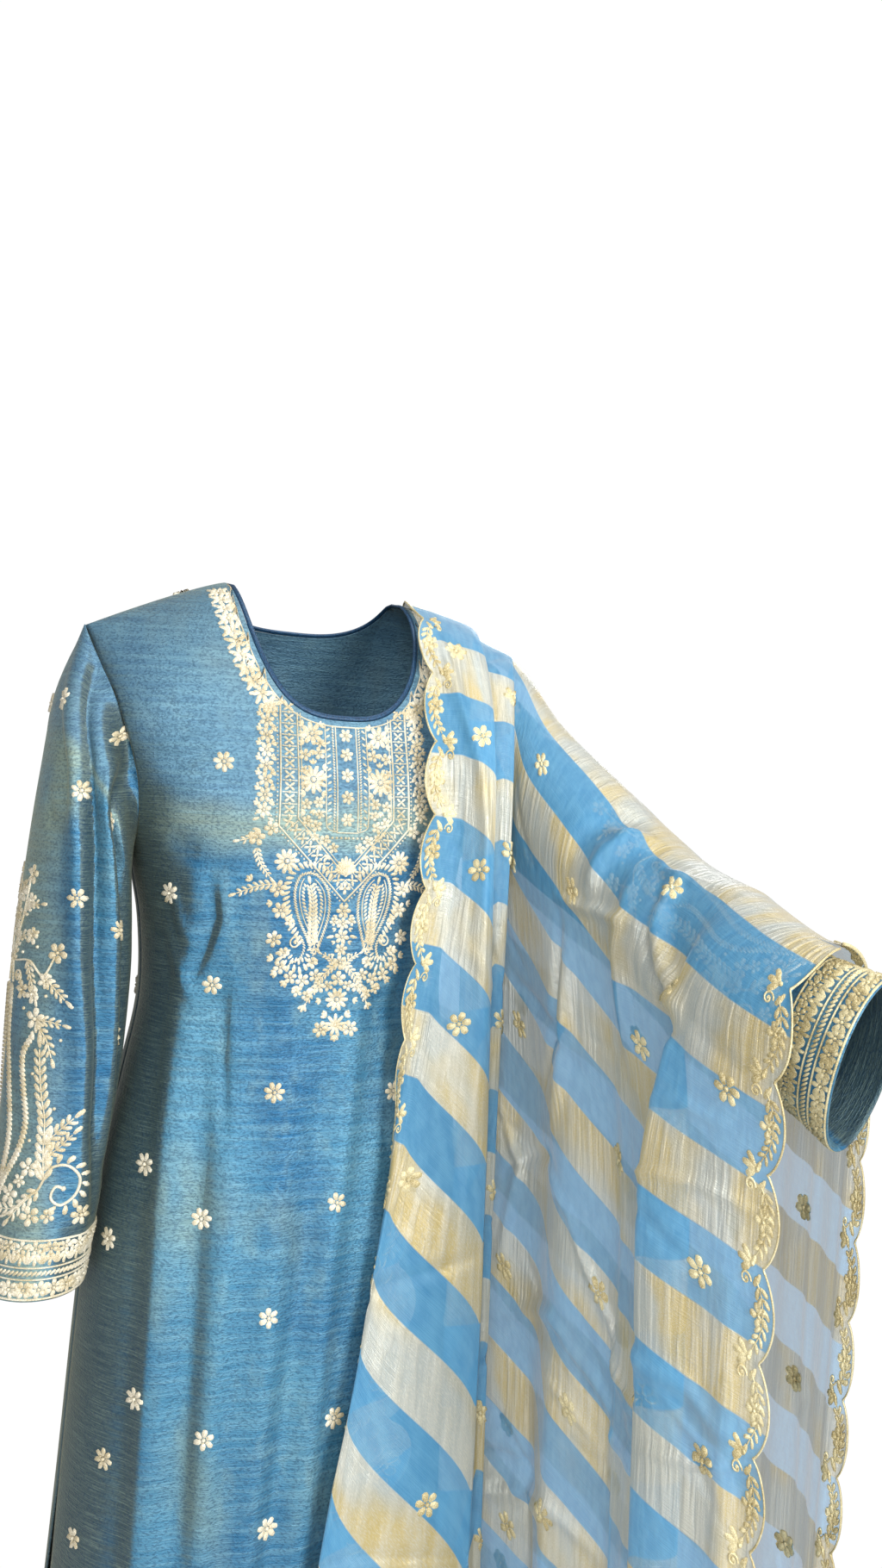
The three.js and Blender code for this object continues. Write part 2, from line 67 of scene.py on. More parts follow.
BODY = table("z half front back", [
    (20, 203, 74, 58), (-50, 203, 80, 74), (-120, 181, 94, 88), (-180, 164, 108, 93),
    (-240, 156, 112, 92), (-300, 144, 111, 88), (-365, 141, 106, 86), (-430, 152, 107, 92),
    (-500, 166, 112, 100), (-570, 176, 117, 106), (-640, 181, 120, 108), (-770, 188, 124, 111),
    (-900, 196, 130, 115), (-1050, 206, 137, 121),
])
RIGHT_SLEEVE = table("x y rx ry zOuter zInner", [
    (-190, -1, 33, 66, -107, -258), (-194.5, -2, 38.5, 66, -175, -276),
    (-197.5, -4, 43.5, 62, -245, -306), (-201, -8, 47.5, 58, -330, -350),
    (-206, -15, 46.5, 54, -430, -435), (-215, -22, 43.5, 50, -520, -520),
    (-225, -28, 41, 47, -592, -592),
])
LEFT_SLEEVE = table("x y z heading width height lean", [
    (205, -30, -158, 35, 60, 82, 0), (220, -85, -194, 60, 57, 72, 0),
    (236, -150, -232, 75, 53, 64, 0), (250, -232, -283, 88, 50, 58, 0),
    (247, -320, -304, 95, 46, 54, 0), (240, -400, -330, 91, 44, 56, 6),
    (250, -472, -349, 74, 41, 62, 30),
])
HIPS = table("z half front back", [
    (-456, 140, 98, 84), (-520, 159, 104, 95), (-600, 175, 111, 103.2), (-700, 177, 108, 98),
])
LEG = table("z inner outer front back", [
    (-745, 7, 177, 97, 87), (-900, 8, 182, 100, 88), (-1060, 9, 192, 104, 92),
    (-1180, 10, 236, 132, 122), (-1310, 10, 303, 168, 158), (-1430, 10, 368, 204, 196),
])
# Each lengthwise fold of the dupatta in front: on the ridge, on the brow and at three levels.
FRONT_FALL = table("u rx ry rz bx by bz wx wy hx hy lx ly", [
    (0, 88, -8, 2.4, 68, -118, -208, 53, -122, 84, -124, 62, -152),
    (44, 120, -8, -3.6, 100, -130, -208, 64, -134, 25, -138, -42, -164),
    (98, 158, -8, -13.6, 126, -144, -215, 128, -152, 128, -157, 114, -178),
    (132, 170, -8, -20.6, 106, -122, -215, 106, -136, 102, -142, 96, -161),
    (166, 182, -8, -27.4, 132, -124, -215, 130, -134, 130, -140, 126, -158),
    (200, 206, -16, -38, 150, -132, -215, 148, -136, 146, -143, 142, -162),
    (240, 212, -26, -46, 136, -112, -215, 130, -116, 126, -124, 122, -142),
    (285, 215, -46, -62, 156, -106, -215, 158, -112, 156, -116, 158, -124),
    (355, 222, -92, -106, 160, -126, -205, 180, -152, 186, -154, 192, -156),
    (430, 237, -152, -151, 172, -172, -235, 168, -206, 170, -208, 166, -212),
    (505, 247, -214, -196, 184, -226, -285, 190, -258, 196, -262, 200, -264),
    (575, 247, -264, -222, 180, -272, -300, 180, -304, 182, -306, 178, -308),
    (650, 243, -330, -238, 182, -334, -318, 188, -352, 192, -356, 196, -358),
    (730, 236, -376, -252, 162, -352, -330, 146, -347, 148, -353, 150, -356),
    (795, 234, -406, -262, 170, -396, -335, 168, -396, 170, -398, 172, -400),
    (860, 238, -440, -271, 190, -444, -340, 193, -439, 194, -438, 196, -438),
])
BACK_FALL = table("u bx by bz lx ly", [
    (0, 84, 108, -190, 66, 142), (44, 116, 104, -190, 108, 150), (98, 150, 96, -190, 150, 128),
    (132, 168, 90, -190, 176, 134), (166, 186, 84, -185, 200, 108), (200, 206, 74, -180, 226, 112),
    (240, 224, 62, -180, 244, 84), (285, 240, 44, -180, 270, 76), (355, 268, -12, -195, 300, 6),
    (430, 299, -96, -225, 338, -52), (505, 311, -192, -270, 346, -136),
    (575, 314, -256, -300, 372, -196), (650, 308, -322, -315, 352, -250),
    (730, 303, -362, -328, 372, -296), (795, 300, -390, -334, 350, -322),
    (860, 296, -410, -338, 338, -346),
])


def smooth(rows, at, column, value):
    """A cubic through a table's rows, read at a value of the column named at."""
    x, y = rows[at], rows[column]
    if x[0] > x[-1]:
        x, y = x[::-1], y[::-1]
    last = len(x) - 1
    value = np.clip(value, x[0], x[-1])
    i = np.clip(np.searchsorted(x, value, side="left") - 1, 0, last - 1)

    def slope(j):
        low, high = np.maximum(j - 1, 0), np.minimum(j + 1, last)
        return (y[high] - y[low]) / (x[high] - x[low])

    span = x[i + 1] - x[i]
    k = (value - x[i]) / span
    rise = y[i + 1] - y[i]
    m, n = slope(i) * span, slope(i + 1) * span
    return y[i] + k * (m + k * (3 * rise - 2 * m - n + k * (m + n - 2 * rise)))


# ---------------------------------------------------------------- the kurta's body
def shoulder_height(x):
    out = np.maximum(np.abs(x) - NECK_HALF, 0) / (SHOULDER_TIP_X - NECK_HALF)
    return SHOULDER_TIP_Z * out ** 1.15


def neckline_height(x, side):
    share = np.minimum(np.abs(x) / NECK_HALF, 1)
    return -NECK_DROP[side] * np.maximum(1 - share ** 2.9, 0) ** (1 / 1.9)


def body_half(z):
    high = np.clip((z - UNDERARM_Z) / (SHOULDER_TIP_Z - UNDERARM_Z), 0, 1)
    return smooth(BODY, "z", "half", z) * (1 + 0.1 * np.sin(np.pi * high))


def body_depth(x, z, side):
    depth = smooth(BODY, "z", "front" if side < 0 else "back", z)
    across = np.minimum(np.abs(x) / body_half(z), 1)
    fallen = np.clip((shoulder_height(x) - z) / SHOULDER_ROUND, 0, 1)
    section = np.maximum(1 - across ** 2.4, 0) ** (1 / 2.2)
    return depth * section * np.sqrt(1 - (1 - fallen) ** 2)


def kurta_place(s, t, side):
    """s runs across a panel from -1 to 1, and t down it: 0 shoulder, 1 underarm, 2 hem."""
    top = s * SHOULDER_TIP_X
    start = np.where(np.abs(top) < NECK_HALF, neckline_height(top, side), shoulder_height(top))
    down = np.minimum(t, 1) ** 2
    edge_z = SHOULDER_TIP_Z + down * (UNDERARM_Z - SHOULDER_TIP_Z)
    z = start + down * (UNDERARM_Z - start) + np.maximum(t - 1, 0) * (KURTA_HEM_Z - UNDERARM_Z)
    half = np.where(t < 1, smooth(BODY, "z", "half", edge_z), body_half(z))
    slit = np.maximum(SLIT_TOP_Z - z, 0) / (SLIT_TOP_Z - KURTA_HEM_Z)
    reach = 1 - SLIT_OPEN * slit
    bend = np.minimum(t, 1) ** 2
    x = half * (bend * np.sin(np.pi / 2 * s * reach) + (1 - bend) * s)
    y = side * (body_depth(x, z, side) + SEAM_GAP / 2)
    return np.stack([x, y, z], -1)


def cloth_lengths(x, z, side):
    """Width and length along the cloth, measured from the middle and from the underarm line."""
    strips = 32
    share = (np.arange(strips) + 0.5) / strips

    def travelled(point, span):
        total = 0
        for k in share:
            a, b = point(k - 0.5 / strips), point(k + 0.5 / strips)
            rise = body_depth(*b, side) - body_depth(*a, side)
            total = total + np.sqrt((span / strips) ** 2 + rise ** 2)
        return np.sign(span) * total

    across = travelled(lambda k: (x * k, z), x)
    rise = np.maximum(z - UNDERARM_Z, 0)
    inside = np.clip(x, -FLAT_CHEST, FLAT_CHEST)
    up = travelled(lambda k: (inside, UNDERARM_Z + rise * k), rise)
    return np.stack([across, np.minimum(z, UNDERARM_Z) + up], -1)


# ---------------------------------------------------------------- cloth and its creases
def directions(points, wrap):
    """Unit normals of a grid of points, from its own slopes."""
    if wrap:
        across = np.roll(points, -1, 1) - np.roll(points, 1, 1)
    else:
        across = np.gradient(points, axis=1)
    down = np.gradient(points, axis=0)
    normal = np.cross(across, down)
    return normal / np.maximum(np.linalg.norm(normal, axis=-1, keepdims=True), 1e-9)


def crease(flat, path, width, height, lean):
    """Height that one soft crease gives each point of a cloth laid flat. The crease follows a path,
    dies away at both ends, and with lean one flank is steeper than the other."""
    path = np.asarray(path, float)
    best = np.full(flat.shape[:-1], 1e9)
    side = np.zeros_like(best)
    share = np.zeros_like(best)
    lengths = np.linalg.norm(np.diff(path, axis=0), axis=1)
    total = lengths.sum()
    gone = 0.0
    for a, b, length in zip(path[:-1], path[1:], lengths):
        step = (b - a) / length
        rel = flat - a
        along = np.clip(rel @ step, 0, length)
        off = rel - along[..., None] * step
        distance = np.linalg.norm(off, axis=-1)
        closer = distance < best
        best = np.where(closer, distance, best)
        side = np.where(closer, np.sign(rel[..., 0] * step[1] - rel[..., 1] * step[0]), side)
        share = np.where(closer, (gone + along) / total, share)
        gone += length
    wide = width * (1 + lean * side)
    fade = np.sin(np.pi * np.clip(share * 0.94 + 0.03, 0, 1)) ** 0.6
    return height * fade * np.exp(-((best / wide) ** 2))


def cross(a, b):
    return a[:, 0] * b[:, 1] - a[:, 1] * b[:, 0]


class Cloth:
    """A grid of points in space with its place on the flat cloth, both in millimetres. The pattern
    follows the place called drawn. Away says which side gets the painted side shade: 0 both, 1 or -1
    one.
    The sheen note is above 0 where a slate sheen is painted: on the chest and a sleeve's crown."""

    def __init__(self, points, flat, wrap=False, facing=1):
        self.points, self.flat, self.wrap, self.facing = points, flat, wrap, facing
        self.drawn, self.away = flat, 0
        self.painted_sheen = np.zeros(flat.shape[:2])
        self.girth = np.ptp(flat[-1, :, 0])
        # 1 where a positive turn on the flat cloth is a positive turn seen from its outside
        width = np.gradient(flat[..., 0], axis=1).mean()
        length = np.gradient(flat[..., 1], axis=0).mean()
        self.hand = 1 if width * length > 0 else -1

    def normals(self):
        return directions(self.points, self.wrap) * self.facing

    def press(self, creases):
        """Moves the cloth in and out by a table of creases on its flat form."""
        rise = sum(crease(self.flat, *one) for one in creases)
        self.points = self.points + self.normals() * rise[..., None]

    def lay(self, spots):
        """Where spots (width, length, height) of the flat cloth come to lie in space."""
        rows, columns = self.flat.shape[:2]
        step = 6
        coarse = self.flat[::step, ::step]
        wide = coarse.shape[1]
        coarse = coarse.reshape(-1, 2)
        start = np.concatenate([
            ((part[:, None, :2] - coarse[None]) ** 2).sum(-1).argmin(1)
            for part in np.array_split(spots, max(1, len(spots) // 4000))
        ])
        i, j = start // wide * step, start % wide * step
        best = np.full(len(spots), 1e12)
        near_i, near_j = i.copy(), j.copy()
        for di in range(-step, step + 1):
            for dj in range(-step, step + 1):
                a, b = np.clip(i + di, 0, rows - 1), np.clip(j + dj, 0, columns - 1)
                gap = ((self.flat[a, b] - spots[:, :2]) ** 2).sum(-1)
                closer = gap < best
                best = np.where(closer, gap, best)
                near_i, near_j = np.where(closer, a, near_i), np.where(closer, b, near_j)
        r, c = near_i.astype(float), near_j.astype(float)
        limit, longest = 1.001, 0.8
        for _ in range(4):
            r, c = np.clip(r, 0, rows - limit), np.clip(c, 0, columns - limit)
            flat, by_row, by_column = self.read(self.flat, r, c)
            miss = spots[:, :2] - flat
            det = cross(by_row, by_column)
            det = np.where(np.abs(det) < 1e-3, 1e-3, det)
            r = r + np.clip(cross(miss, by_column) / det, -longest, longest)
            c = c + np.clip(cross(by_row, miss) / det, -longest, longest)
        r, c = np.clip(r, 0, rows - limit), np.clip(c, 0, columns - limit)
        place = self.read(self.points, r, c)[0]
        normal = self.read(self.normals(), r, c)[0]
        return place + normal * spots[:, 2:3]

    @staticmethod
    def read(grid, r, c):
        i, j = r.astype(int), c.astype(int)
        a, b = (r - i)[:, None], (c - j)[:, None]
        p, q, s, t = grid[i, j], grid[i, j + 1], grid[i + 1, j], grid[i + 1, j + 1]
        value = p * (1 - a) * (1 - b) + q * (1 - a) * b + s * a * (1 - b) + t * a * b
        return value, (s - p) * (1 - b) + (t - q) * b, (q - p) * (1 - a) + (t - s) * a

    def sew(self, name, material, thickness=None):
        """Makes the mesh piece, with the flat cloth as its UV map in metres. It also notes how far
        each point is turned to a side, 0 to 1, which places the painted side shade, and where the
        painted sheen goes."""
        rows, columns = self.flat.shape[:2]
        spans = columns if self.wrap else columns - 1
        r, c = np.meshgrid(np.arange(rows - 1), np.arange(spans), indexing="ij")
        here, ahead = r * columns + c, r * columns + (c + 1) % columns
        quads = np.stack([here, ahead, ahead + columns, here + columns], -1).reshape(-1, 4)
        if self.facing < 0:
            quads = quads[:, ::-1]
        corner = self.drawn.reshape(-1, 2)[quads]
        if self.wrap:
            around = np.ptp(self.flat[..., 0], axis=1).max() * columns / (columns - 1)
            jump = corner[..., 0] < corner[..., 0].max(1, keepdims=True) - around / 2
            corner[..., 0] += jump * around
        piece = build(name, self.points.reshape(-1, 3), quads, material, corner)
        sideways = self.normals()[..., 0]
        if self.away:
            sideways = np.clip(0.6 + 0.9 * self.away * sideways, 0, 1)
        for title, values in (("turned", np.abs(sideways)), ("painted_sheen", self.painted_sheen)):
            layer = piece.data.attributes.new(title, "FLOAT", "POINT")
            layer.data.foreach_set("value", values.reshape(-1).astype(np.float32))
        if thickness:
            shell = piece.modifiers.new("cloth", "SOLIDIFY")
            shell.thickness, shell.offset, shell.use_even_offset = thickness / 1000, -1, False
            apply(piece)
        return piece


def build(name, points, faces, material, corner=None):
    mesh = bpy.data.meshes.new(name)
    places = (np.asarray(points) / 1000).tolist()
    mesh.from_pydata(places, [], [list(map(int, face)) for face in faces])
    if corner is not None:
        layer = mesh.uv_layers.new(name="UVMap")
        layer.data.foreach_set("uv", (corner.reshape(-1) / 1000).astype(np.float32))
    mesh.polygons.foreach_set("use_smooth", [True] * len(mesh.polygons))
    mesh.materials.append(material)
    piece = bpy.data.objects.new(name, mesh)
    bpy.context.scene.collection.objects.link(piece)
    return piece


def apply(piece):
    bpy.context.view_layer.objects.active = piece
    for modifier in list(piece.modifiers):
        bpy.ops.object.modifier_apply(modifier=modifier.name)


def finish_piece(piece, slot, *nodes):
    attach(piece, "root")
    if nodes:
        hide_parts(*nodes)
    return piece


# ---------------------------------------------------------------- materials
class Value:
    """A shader socket that adds, multiplies and mixes like a number."""

    def __init__(self, stuff, socket):
        self.stuff, self.socket = stuff, socket

    def maths(self, operation, *values):
        return self.stuff.node("ShaderNodeMath", {"operation": operation}, dict(enumerate(values)))

    def __add__(self, other):
        return self.maths("ADD", self, other)

    def __mul__(self, other):
        return self.maths("MULTIPLY", self, other)

    def __rsub__(self, other):
        return self.maths("SUBTRACT", other, self)

    __radd__, __rmul__ = __add__, __mul__

    def cosine(self):
        return self.maths("COSINE", self)

    def steps(self, low, high):
        return self.stuff.node("ShaderNodeMapRange", {"interpolation_type": "SMOOTHSTEP"},
                               {"Value": self, "From Min": low, "From Max": high})


class Stuff:
    """One material: its nodes, its shader and the places on the flat cloth, in metres."""

    def __init__(self, name):
        self.material = bpy.data.materials.new(name)
        self.material.use_nodes = True
        self.tree = self.material.node_tree
        self.shader = self.tree.nodes["Principled BSDF"]

    def node(self, kind, settings=None, inputs=None, output=0):
        made = self.tree.nodes.new(kind)
        for key, value in (settings or {}).items():
            setattr(made, key, value)
        for key, value in (inputs or {}).items():
            self.connect(made.inputs[key], value)
        return Value(self, made.outputs[output])

    def connect(self, socket, value):
        if isinstance(value, Value):
            self.tree.links.new(value.socket, socket)
        else:
            socket.default_value = value

    def flat(self):
        place = self.node("ShaderNodeUVMap", {"uv_map": "UVMap"})
        split = self.tree.nodes.new("ShaderNodeSeparateXYZ")
        self.tree.links.new(place.socket, split.inputs[0])
        return Value(self, split.outputs[0]), Value(self, split.outputs[1])

    def grain(self, u, v, along, across, detail=2.0, shift=0.0):
        """Noise stretched over the cloth: along and across are its number of waves a metre."""
        place = self.node("ShaderNodeCombineXYZ", {},
                          {0: u * along + shift, 1: v * across, 2: shift})
        return self.noise(place, 1.0, detail)

    def noise(self, place, scale, detail):
        return self.node("ShaderNodeTexNoise", {},
                         {"Vector": place, "Scale": scale, "Detail": detail})

    def noted(self, name):
        return self.node("ShaderNodeAttribute", {"attribute_name": name}, output=2)

    def solid(self):
        """The place on the object, for finishes that don't follow the cloth."""
        return self.node("ShaderNodeTexCoord", output=3)

    def tint(self, mask, low, high):
        return self.node("ShaderNodeMix", {"data_type": "RGBA"}, {0: mask, 6: low, 7: high}, 2)

    def relief(self, height, strength, distance):
        return self.node("ShaderNodeBump", {},
                         {"Strength": strength, "Distance": distance, "Height": height})

    def set(self, **inputs):
        for key, value in inputs.items():
            self.connect(self.shader.inputs[key.replace("_", " ")], value)
        return self.material


def srgb(*levels):
    return (*(((k / 255 + 0.055) / 1.055) ** 2.4 for k in levels), 1)


def tissue_silk():
    """Blue tissue silk with olive patches: a fine metal weft with slubs, cloudy tones and a
    soft sheen. Where the cloth turns to a side, painted shade darkens it to slate. On the chest and
    a sleeve's crown a slate sheen is painted, with a painted gold highlight where slate and blue meet."""
    stuff = Stuff("tissue_silk")
    u, v = stuff.flat()
    turned, painted_sheen = stuff.noted("turned"), stuff.noted("painted_sheen")
    slub = stuff.grain(u, v, 34, 1300, 3).steps(0.42, 0.8)
    streak = stuff.grain(u, v, 14, 220, 3, 3.1).steps(0.35, 0.75)
    cloud = stuff.grain(u, v, 9, 5, 3, 7.7).steps(0.38, 0.66)
    shot = stuff.grain(u, v, 15, 6, 3, 12.4).steps(0.52, 0.74)
    speck = stuff.grain(u, v, 380, 620, 3, 5.3).steps(0.42, 0.68)
    mottle = stuff.grain(u, v, 60, 46, 4, 9.6).steps(0.5, 0.75)
    colour = stuff.tint(cloud, srgb(18, 96, 140), srgb(68, 132, 164))
    colour = stuff.tint(mottle * 0.24, colour, srgb(146, 178, 172))
    colour = stuff.tint(shot * 0.55, colour, srgb(134, 148, 124))
    # Painted sheen: slate on the chest and on a sleeve's crown, with a painted gold highlight along its
    # border.
    high = (painted_sheen + cloud * 0.04).steps(0.03, 0.18)
    colour = stuff.tint(high * 0.62, colour, srgb(94, 126, 146))
    colour = stuff.tint(high * (1 - high) * 2.2, colour, srgb(162, 174, 142))
    colour = stuff.tint(streak * 0.3 + slub * 0.25, colour, srgb(136, 182, 196))
    # Painted shade: cloth turned to a side is darkened to slate, and pale slubs are painted over that
    # shade as glints.
    side = (turned + streak * 0.06).steps(0.62, 0.84)
    colour = stuff.tint(side * 0.85, colour, srgb(62, 78, 78))
    colour = stuff.tint(side * slub * 0.5, colour, srgb(150, 172, 160))
    colour = stuff.tint(speck * 0.45, colour, srgb(14, 56, 88))
    return stuff.set(
        Base_Color=colour, Metallic=0.42, Roughness=0.44 + slub * 0.12,
        Normal=stuff.relief(slub * 0.5 + streak * 0.3 + speck * 0.6, 0.5, 0.0008),
        Sheen_Weight=0.3, Sheen_Roughness=0.4, Sheen_Tint=srgb(196, 188, 128),
    )


def chiffon():
    """Sky-blue chiffon crossed by stripes of pale silver-gold tissue."""
    stuff = Stuff("dupatta_stripes")
    u, v = stuff.flat()
    gold = (v * (2 * math.pi / (STRIPE / 1000))).cosine().steps(-0.05, 0.05)
    crinkle = stuff.grain(u, v, 150, 60, 3).steps(0.3, 0.7)
    crush = stuff.grain(u, v, 210, 14, 3, 9.0).steps(0.35, 0.7)
    thread = stuff.grain(u, v, 30, 1700, 2, 2.2).steps(0.35, 0.7)
    painted_glints = stuff.grain(u, v, 900, 900, 1, 4.1).steps(0.45, 0.7)
    cloud = stuff.grain(u, v, 14, 8, 3, 5.0).steps(0.42, 0.6)
    sky = stuff.tint(crinkle * 0.4 + thread * 0.2, srgb(80, 154, 200), srgb(122, 190, 226))
    tissue = stuff.tint(cloud, srgb(184, 190, 184), srgb(204, 184, 124))
    # Pale crush streaks and painted glints on the tissue stripes.
    tissue = stuff.tint(crush * 0.45 + painted_glints * 0.35, tissue, srgb(222, 219, 202))
    colour = stuff.tint(gold, sky, tissue)
    return stuff.set(
        Base_Color=colour, Metallic=gold * 0.25 + 0.03, Roughness=0.46 - gold * 0.12,
        Alpha=0.64 + gold * 0.18,
        Normal=stuff.relief(crinkle * (1 - gold) * 0.5 + gold * crush + thread * 0.3, 0.6, 0.0008),
        Sheen_Weight=0.3, Sheen_Roughness=0.4,
    )


def thread(name, dark, light, metal):
    stuff = Stuff(name)
    strands = stuff.noise(stuff.solid(), 1400.0, 1.0)
    patches = stuff.noise(stuff.solid(), 45.0, 2.0)
    mix = strands.steps(0.35, 0.65) * 0.6 + patches.steps(0.4, 0.6) * 0.4
    return stuff.set(
        Base_Color=stuff.tint(mix, dark, light), Metallic=metal, Roughness=0.38,
        Normal=stuff.relief(strands, 0.6, 0.0005),
    )


def satin(name, dark, light):
    stuff = Stuff(name)
    strands = stuff.noise(stuff.solid(), 900.0, 2.0)
    return stuff.set(
        Base_Color=stuff.tint(strands.steps(0.35, 0.65), dark, light), Metallic=0.25,
        Roughness=0.45, Normal=stuff.relief(strands, 0.3, 0.0004),
    )


SILK = tissue_silk()
STRIPES = chiffon()
GOLD_THREAD = thread("cream_gold_thread", srgb(186, 168, 122), srgb(240, 234, 216), 0.12)
PALE_GOLD = thread("pale_gold_thread", srgb(172, 152, 98), srgb(238, 228, 186), 0.18)
NAVY = satin("dark_blue_binding", srgb(16, 46, 74), srgb(34, 78, 112))

# ---------------------------------------------------------------- kurta panels
CORNER = NECK_HALF / SHOULDER_TIP_X


def panel(side, inner, outer, upper, lower):
    """Front or back, with its count of columns inside and beside the neck and of rows above and
    below the underarm."""
    neck = CORNER * np.sin(np.pi / 2 * np.linspace(-1, 1, inner))
    arm = CORNER + (1 - CORNER) * np.linspace(0, 1, outer)
    across = np.concatenate([-arm[::-1][:-1], neck, arm[1:]])
    down = np.concatenate([np.linspace(0, 1, upper), np.linspace(1, 2, lower)[1:]])
    t, s = np.meshgrid(down, across, indexing="ij")
    points = kurta_place(s, t, side)
    flat = cloth_lengths(points[..., 0], points[..., 2], side)
    return Cloth(points, flat, facing=side)


# Each crease has its path on the flat cloth, its width, its height and its lean.
FRONT_CREASES = [
    ([(24, -300), (20, -383), (16, -450), (-4, -640), (-30, -1048)], 13, 5.5, 0.25),
    ([(-6, -400), (-26, -640), (-62, -1048)], 11, -4.5, 0.0),
    ([(-126, -250), (-132, -330), (-140, -480), (-146, -700), (-156, -1048)], 15, 6.5, -0.2),
    ([(-106, -350), (-110, -440), (-114, -560), (-122, -860)], 11, -4.5, 0.0),
    ([(-84, -440), (-88, -560), (-96, -760), (-104, -1048)], 10, 4.6, 0.2),
    ([(-98, -340), (-94, -408), (-90, -470)], 6, -2.6, 0.0),
    ([(-114, -256), (-109, -290), (-115, -312), (-125, -345)], 5, -4.0, 0.0),
    ([(-104, -262), (-100, -292), (-108, -322)], 6, 2.4, 0.0),
    ([(-150, -266), (-137, -302), (-119, -312)], 5, 2.8, 0.0),
    ([(-156, -290), (-144, -324), (-128, -350), (-108, -372)], 6, 2.2, 0.0),
    ([(-48, -300), (-46, -380), (-50, -470)], 10, 2.4, 0.0),
    ([(-40, -420), (-46, -520), (-54, -700), (-72, -1048)], 12, 4.0, 0.0),
    ([(60, -420), (56, -600), (58, -820), (66, -1048)], 16, 4.2, 0.2),
    ([(96, -460), (104, -700), (112, -1048)], 14, -5.0, 0.0),
    ([(140, -420), (150, -640), (160, -1048)], 13, 5.0, 0.0),
    ([(-158, -146), (-140, -150), (-124, -140), (-100, -147)], 5, 1.9, 0.2),
    ([(-152, -166), (-138, -160), (-124, -153), (-102, -152)], 5, -1.8, 0.0),
    ([(-160, -196), (-124, -188), (-78, -206)], 14, 2.4, 0.0),
    ([(-154, -222), (-128, -240), (-92, -252)], 12, -2.6, 0.0),
    ([(148, -200), (126, -222), (98, -238)], 8, 2.4, 0.0),
    ([(-138, -372), (-96, -362), (-40, -372)], 7, -1.6, 0.0),
    ([(-130, -388), (-90, -402), (-44, -396)], 6, 1.5, 0.0),
    ([(130, -358), (80, -368), (20, -362)], 9, -1.8, 0.0),
    ([(-170, -520), (-150, -530), (-128, -524)], 6, 1.4, 0.0),
    ([(-30, -470), (-8, -520), (-2, -600)], 7, 1.8, 0.0),
]
BACK_CREASES = [
    ([(-110, -300), (-118, -520), (-128, -760), (-140, -1048)], 16, 5.0, 0.2),
    ([(-70, -380), (-78, -620), (-90, -1048)], 14, -4.0, 0.0),
    ([(-24, -330), (-30, -560), (-34, -1048)], 17, 4.4, -0.2),
    ([(26, -420), (34, -700), (40, -1048)], 13, -3.6, 0.0),
    ([(72, -360), (80, -600), (96, -1048)], 16, 4.6, 0.2),
    ([(124, -420), (134, -700), (146, -1048)], 12, 3.2, 0.0),
    ([(-120, -352), (-60, -366), (10, -360)], 12, -2.0, 0.0),
    ([(118, -356), (62, -372), (6, -382)], 10, -1.8, 0.0),
    ([(-132, -208), (-104, -226), (-70, -236)], 8, 2.0, 0.0),
    ([(132, -208), (104, -226), (70, -236)], 8, 2.0, 0.0),
]

front = panel(-1, 71, 33, 81, 131)
back = panel(1, 49, 21, 51, 81)
for cloth in (front, back):
    # The painted slate sheen fades in over the chest, from just below the underarm line upward.
    cloth.painted_sheen = np.interp(cloth.points[..., 2], [UNDERARM_Z - 16, UNDERARM_Z + 80], [0, 0.2])
front.press(FRONT_CREASES)
back.press(BACK_CREASES)


# ---------------------------------------------------------------- neck binding
def binding():
    """A flat tube round the neckline, laid against the cloth's edge."""
    inset, half_width, sunk, half_height = 2.75, 2.3, -0.6, 1.25
    s = CORNER * np.sin(np.pi / 2 * np.linspace(-1, 1, 90))
    edge, normal = [], []
    for side, run in ((-1, s), (1, s[::-1][1:-1])):
        t = np.zeros_like(run)
        at = kurta_place(run, t, side)
        reach = 0.5
        x, z = at[:, 0], at[:, 2]
        slope_x = (body_depth(x + reach, z, side) - body_depth(x - reach, z, side)) / (2 * reach)
        slope_z = (body_depth(x, z + reach, side) - body_depth(x, z - reach, side)) / (2 * reach)
        on_seam = body_depth(x, z, side) < 1
        facing = np.stack([-slope_x, np.where(on_seam, 0, side), -slope_z], -1)
        edge.append(at)
        normal.append(facing / np.linalg.norm(facing, axis=1, keepdims=True))
    edge, normal = np.concatenate(edge), np.concatenate(normal)
    along = np.roll(edge, -1, 0) - np.roll(edge, 1, 0)
    along /= np.linalg.norm(along, axis=1, keepdims=True)
    inward = np.cross(normal, along)
    inward /= np.linalg.norm(inward, axis=1, keepdims=True)
    around, count = 12, len(edge)
    grid = np.stack([
        edge + inward * (inset - half_width * math.cos(turn))
        + normal * (sunk + half_height * math.sin(turn))
        for turn in np.linspace(0, 2 * np.pi, around + 1)[:-1]
    ])
    quads = []
    for r in range(around):
        here, below = r * count, (r + 1) % around * count
        quads += [(here + c, below + c, below + (c + 1) % count, here + (c + 1) % count)
                  for c in range(count)]
    return build("neck_binding", grid.reshape(-1, 3), quads, NAVY)


finish_piece(binding(), "silk_binding", "kurta_neck_binding")


# ---------------------------------------------------------------- sleeves
def armhole(angle, hand):
    """The edge that a sleeve is sewn to: from the shoulder down the front and up the back."""
    in_front = angle <= np.pi
    t = np.maximum(np.where(in_front, angle / np.pi, 2 - angle / np.pi), 0.02)
    sides = [kurta_place(np.full_like(t, hand), t, side) for side in (-1, 1)]
    return np.where(in_front[:, None], *sides) + np.array([hand * SEAM_GAP, 0, 0])


def right_ring(row, angle):
    """A ring round the hanging sleeve, as high outside and inside as its row says."""
    outer = (1 + np.cos(angle)) / 2
    return np.stack([row["x"] - row["rx"] * np.cos(angle), row["y"] - row["ry"] * np.sin(angle),
                     row["zInner"] + outer * (row["zOuter"] - row["zInner"])], -1)


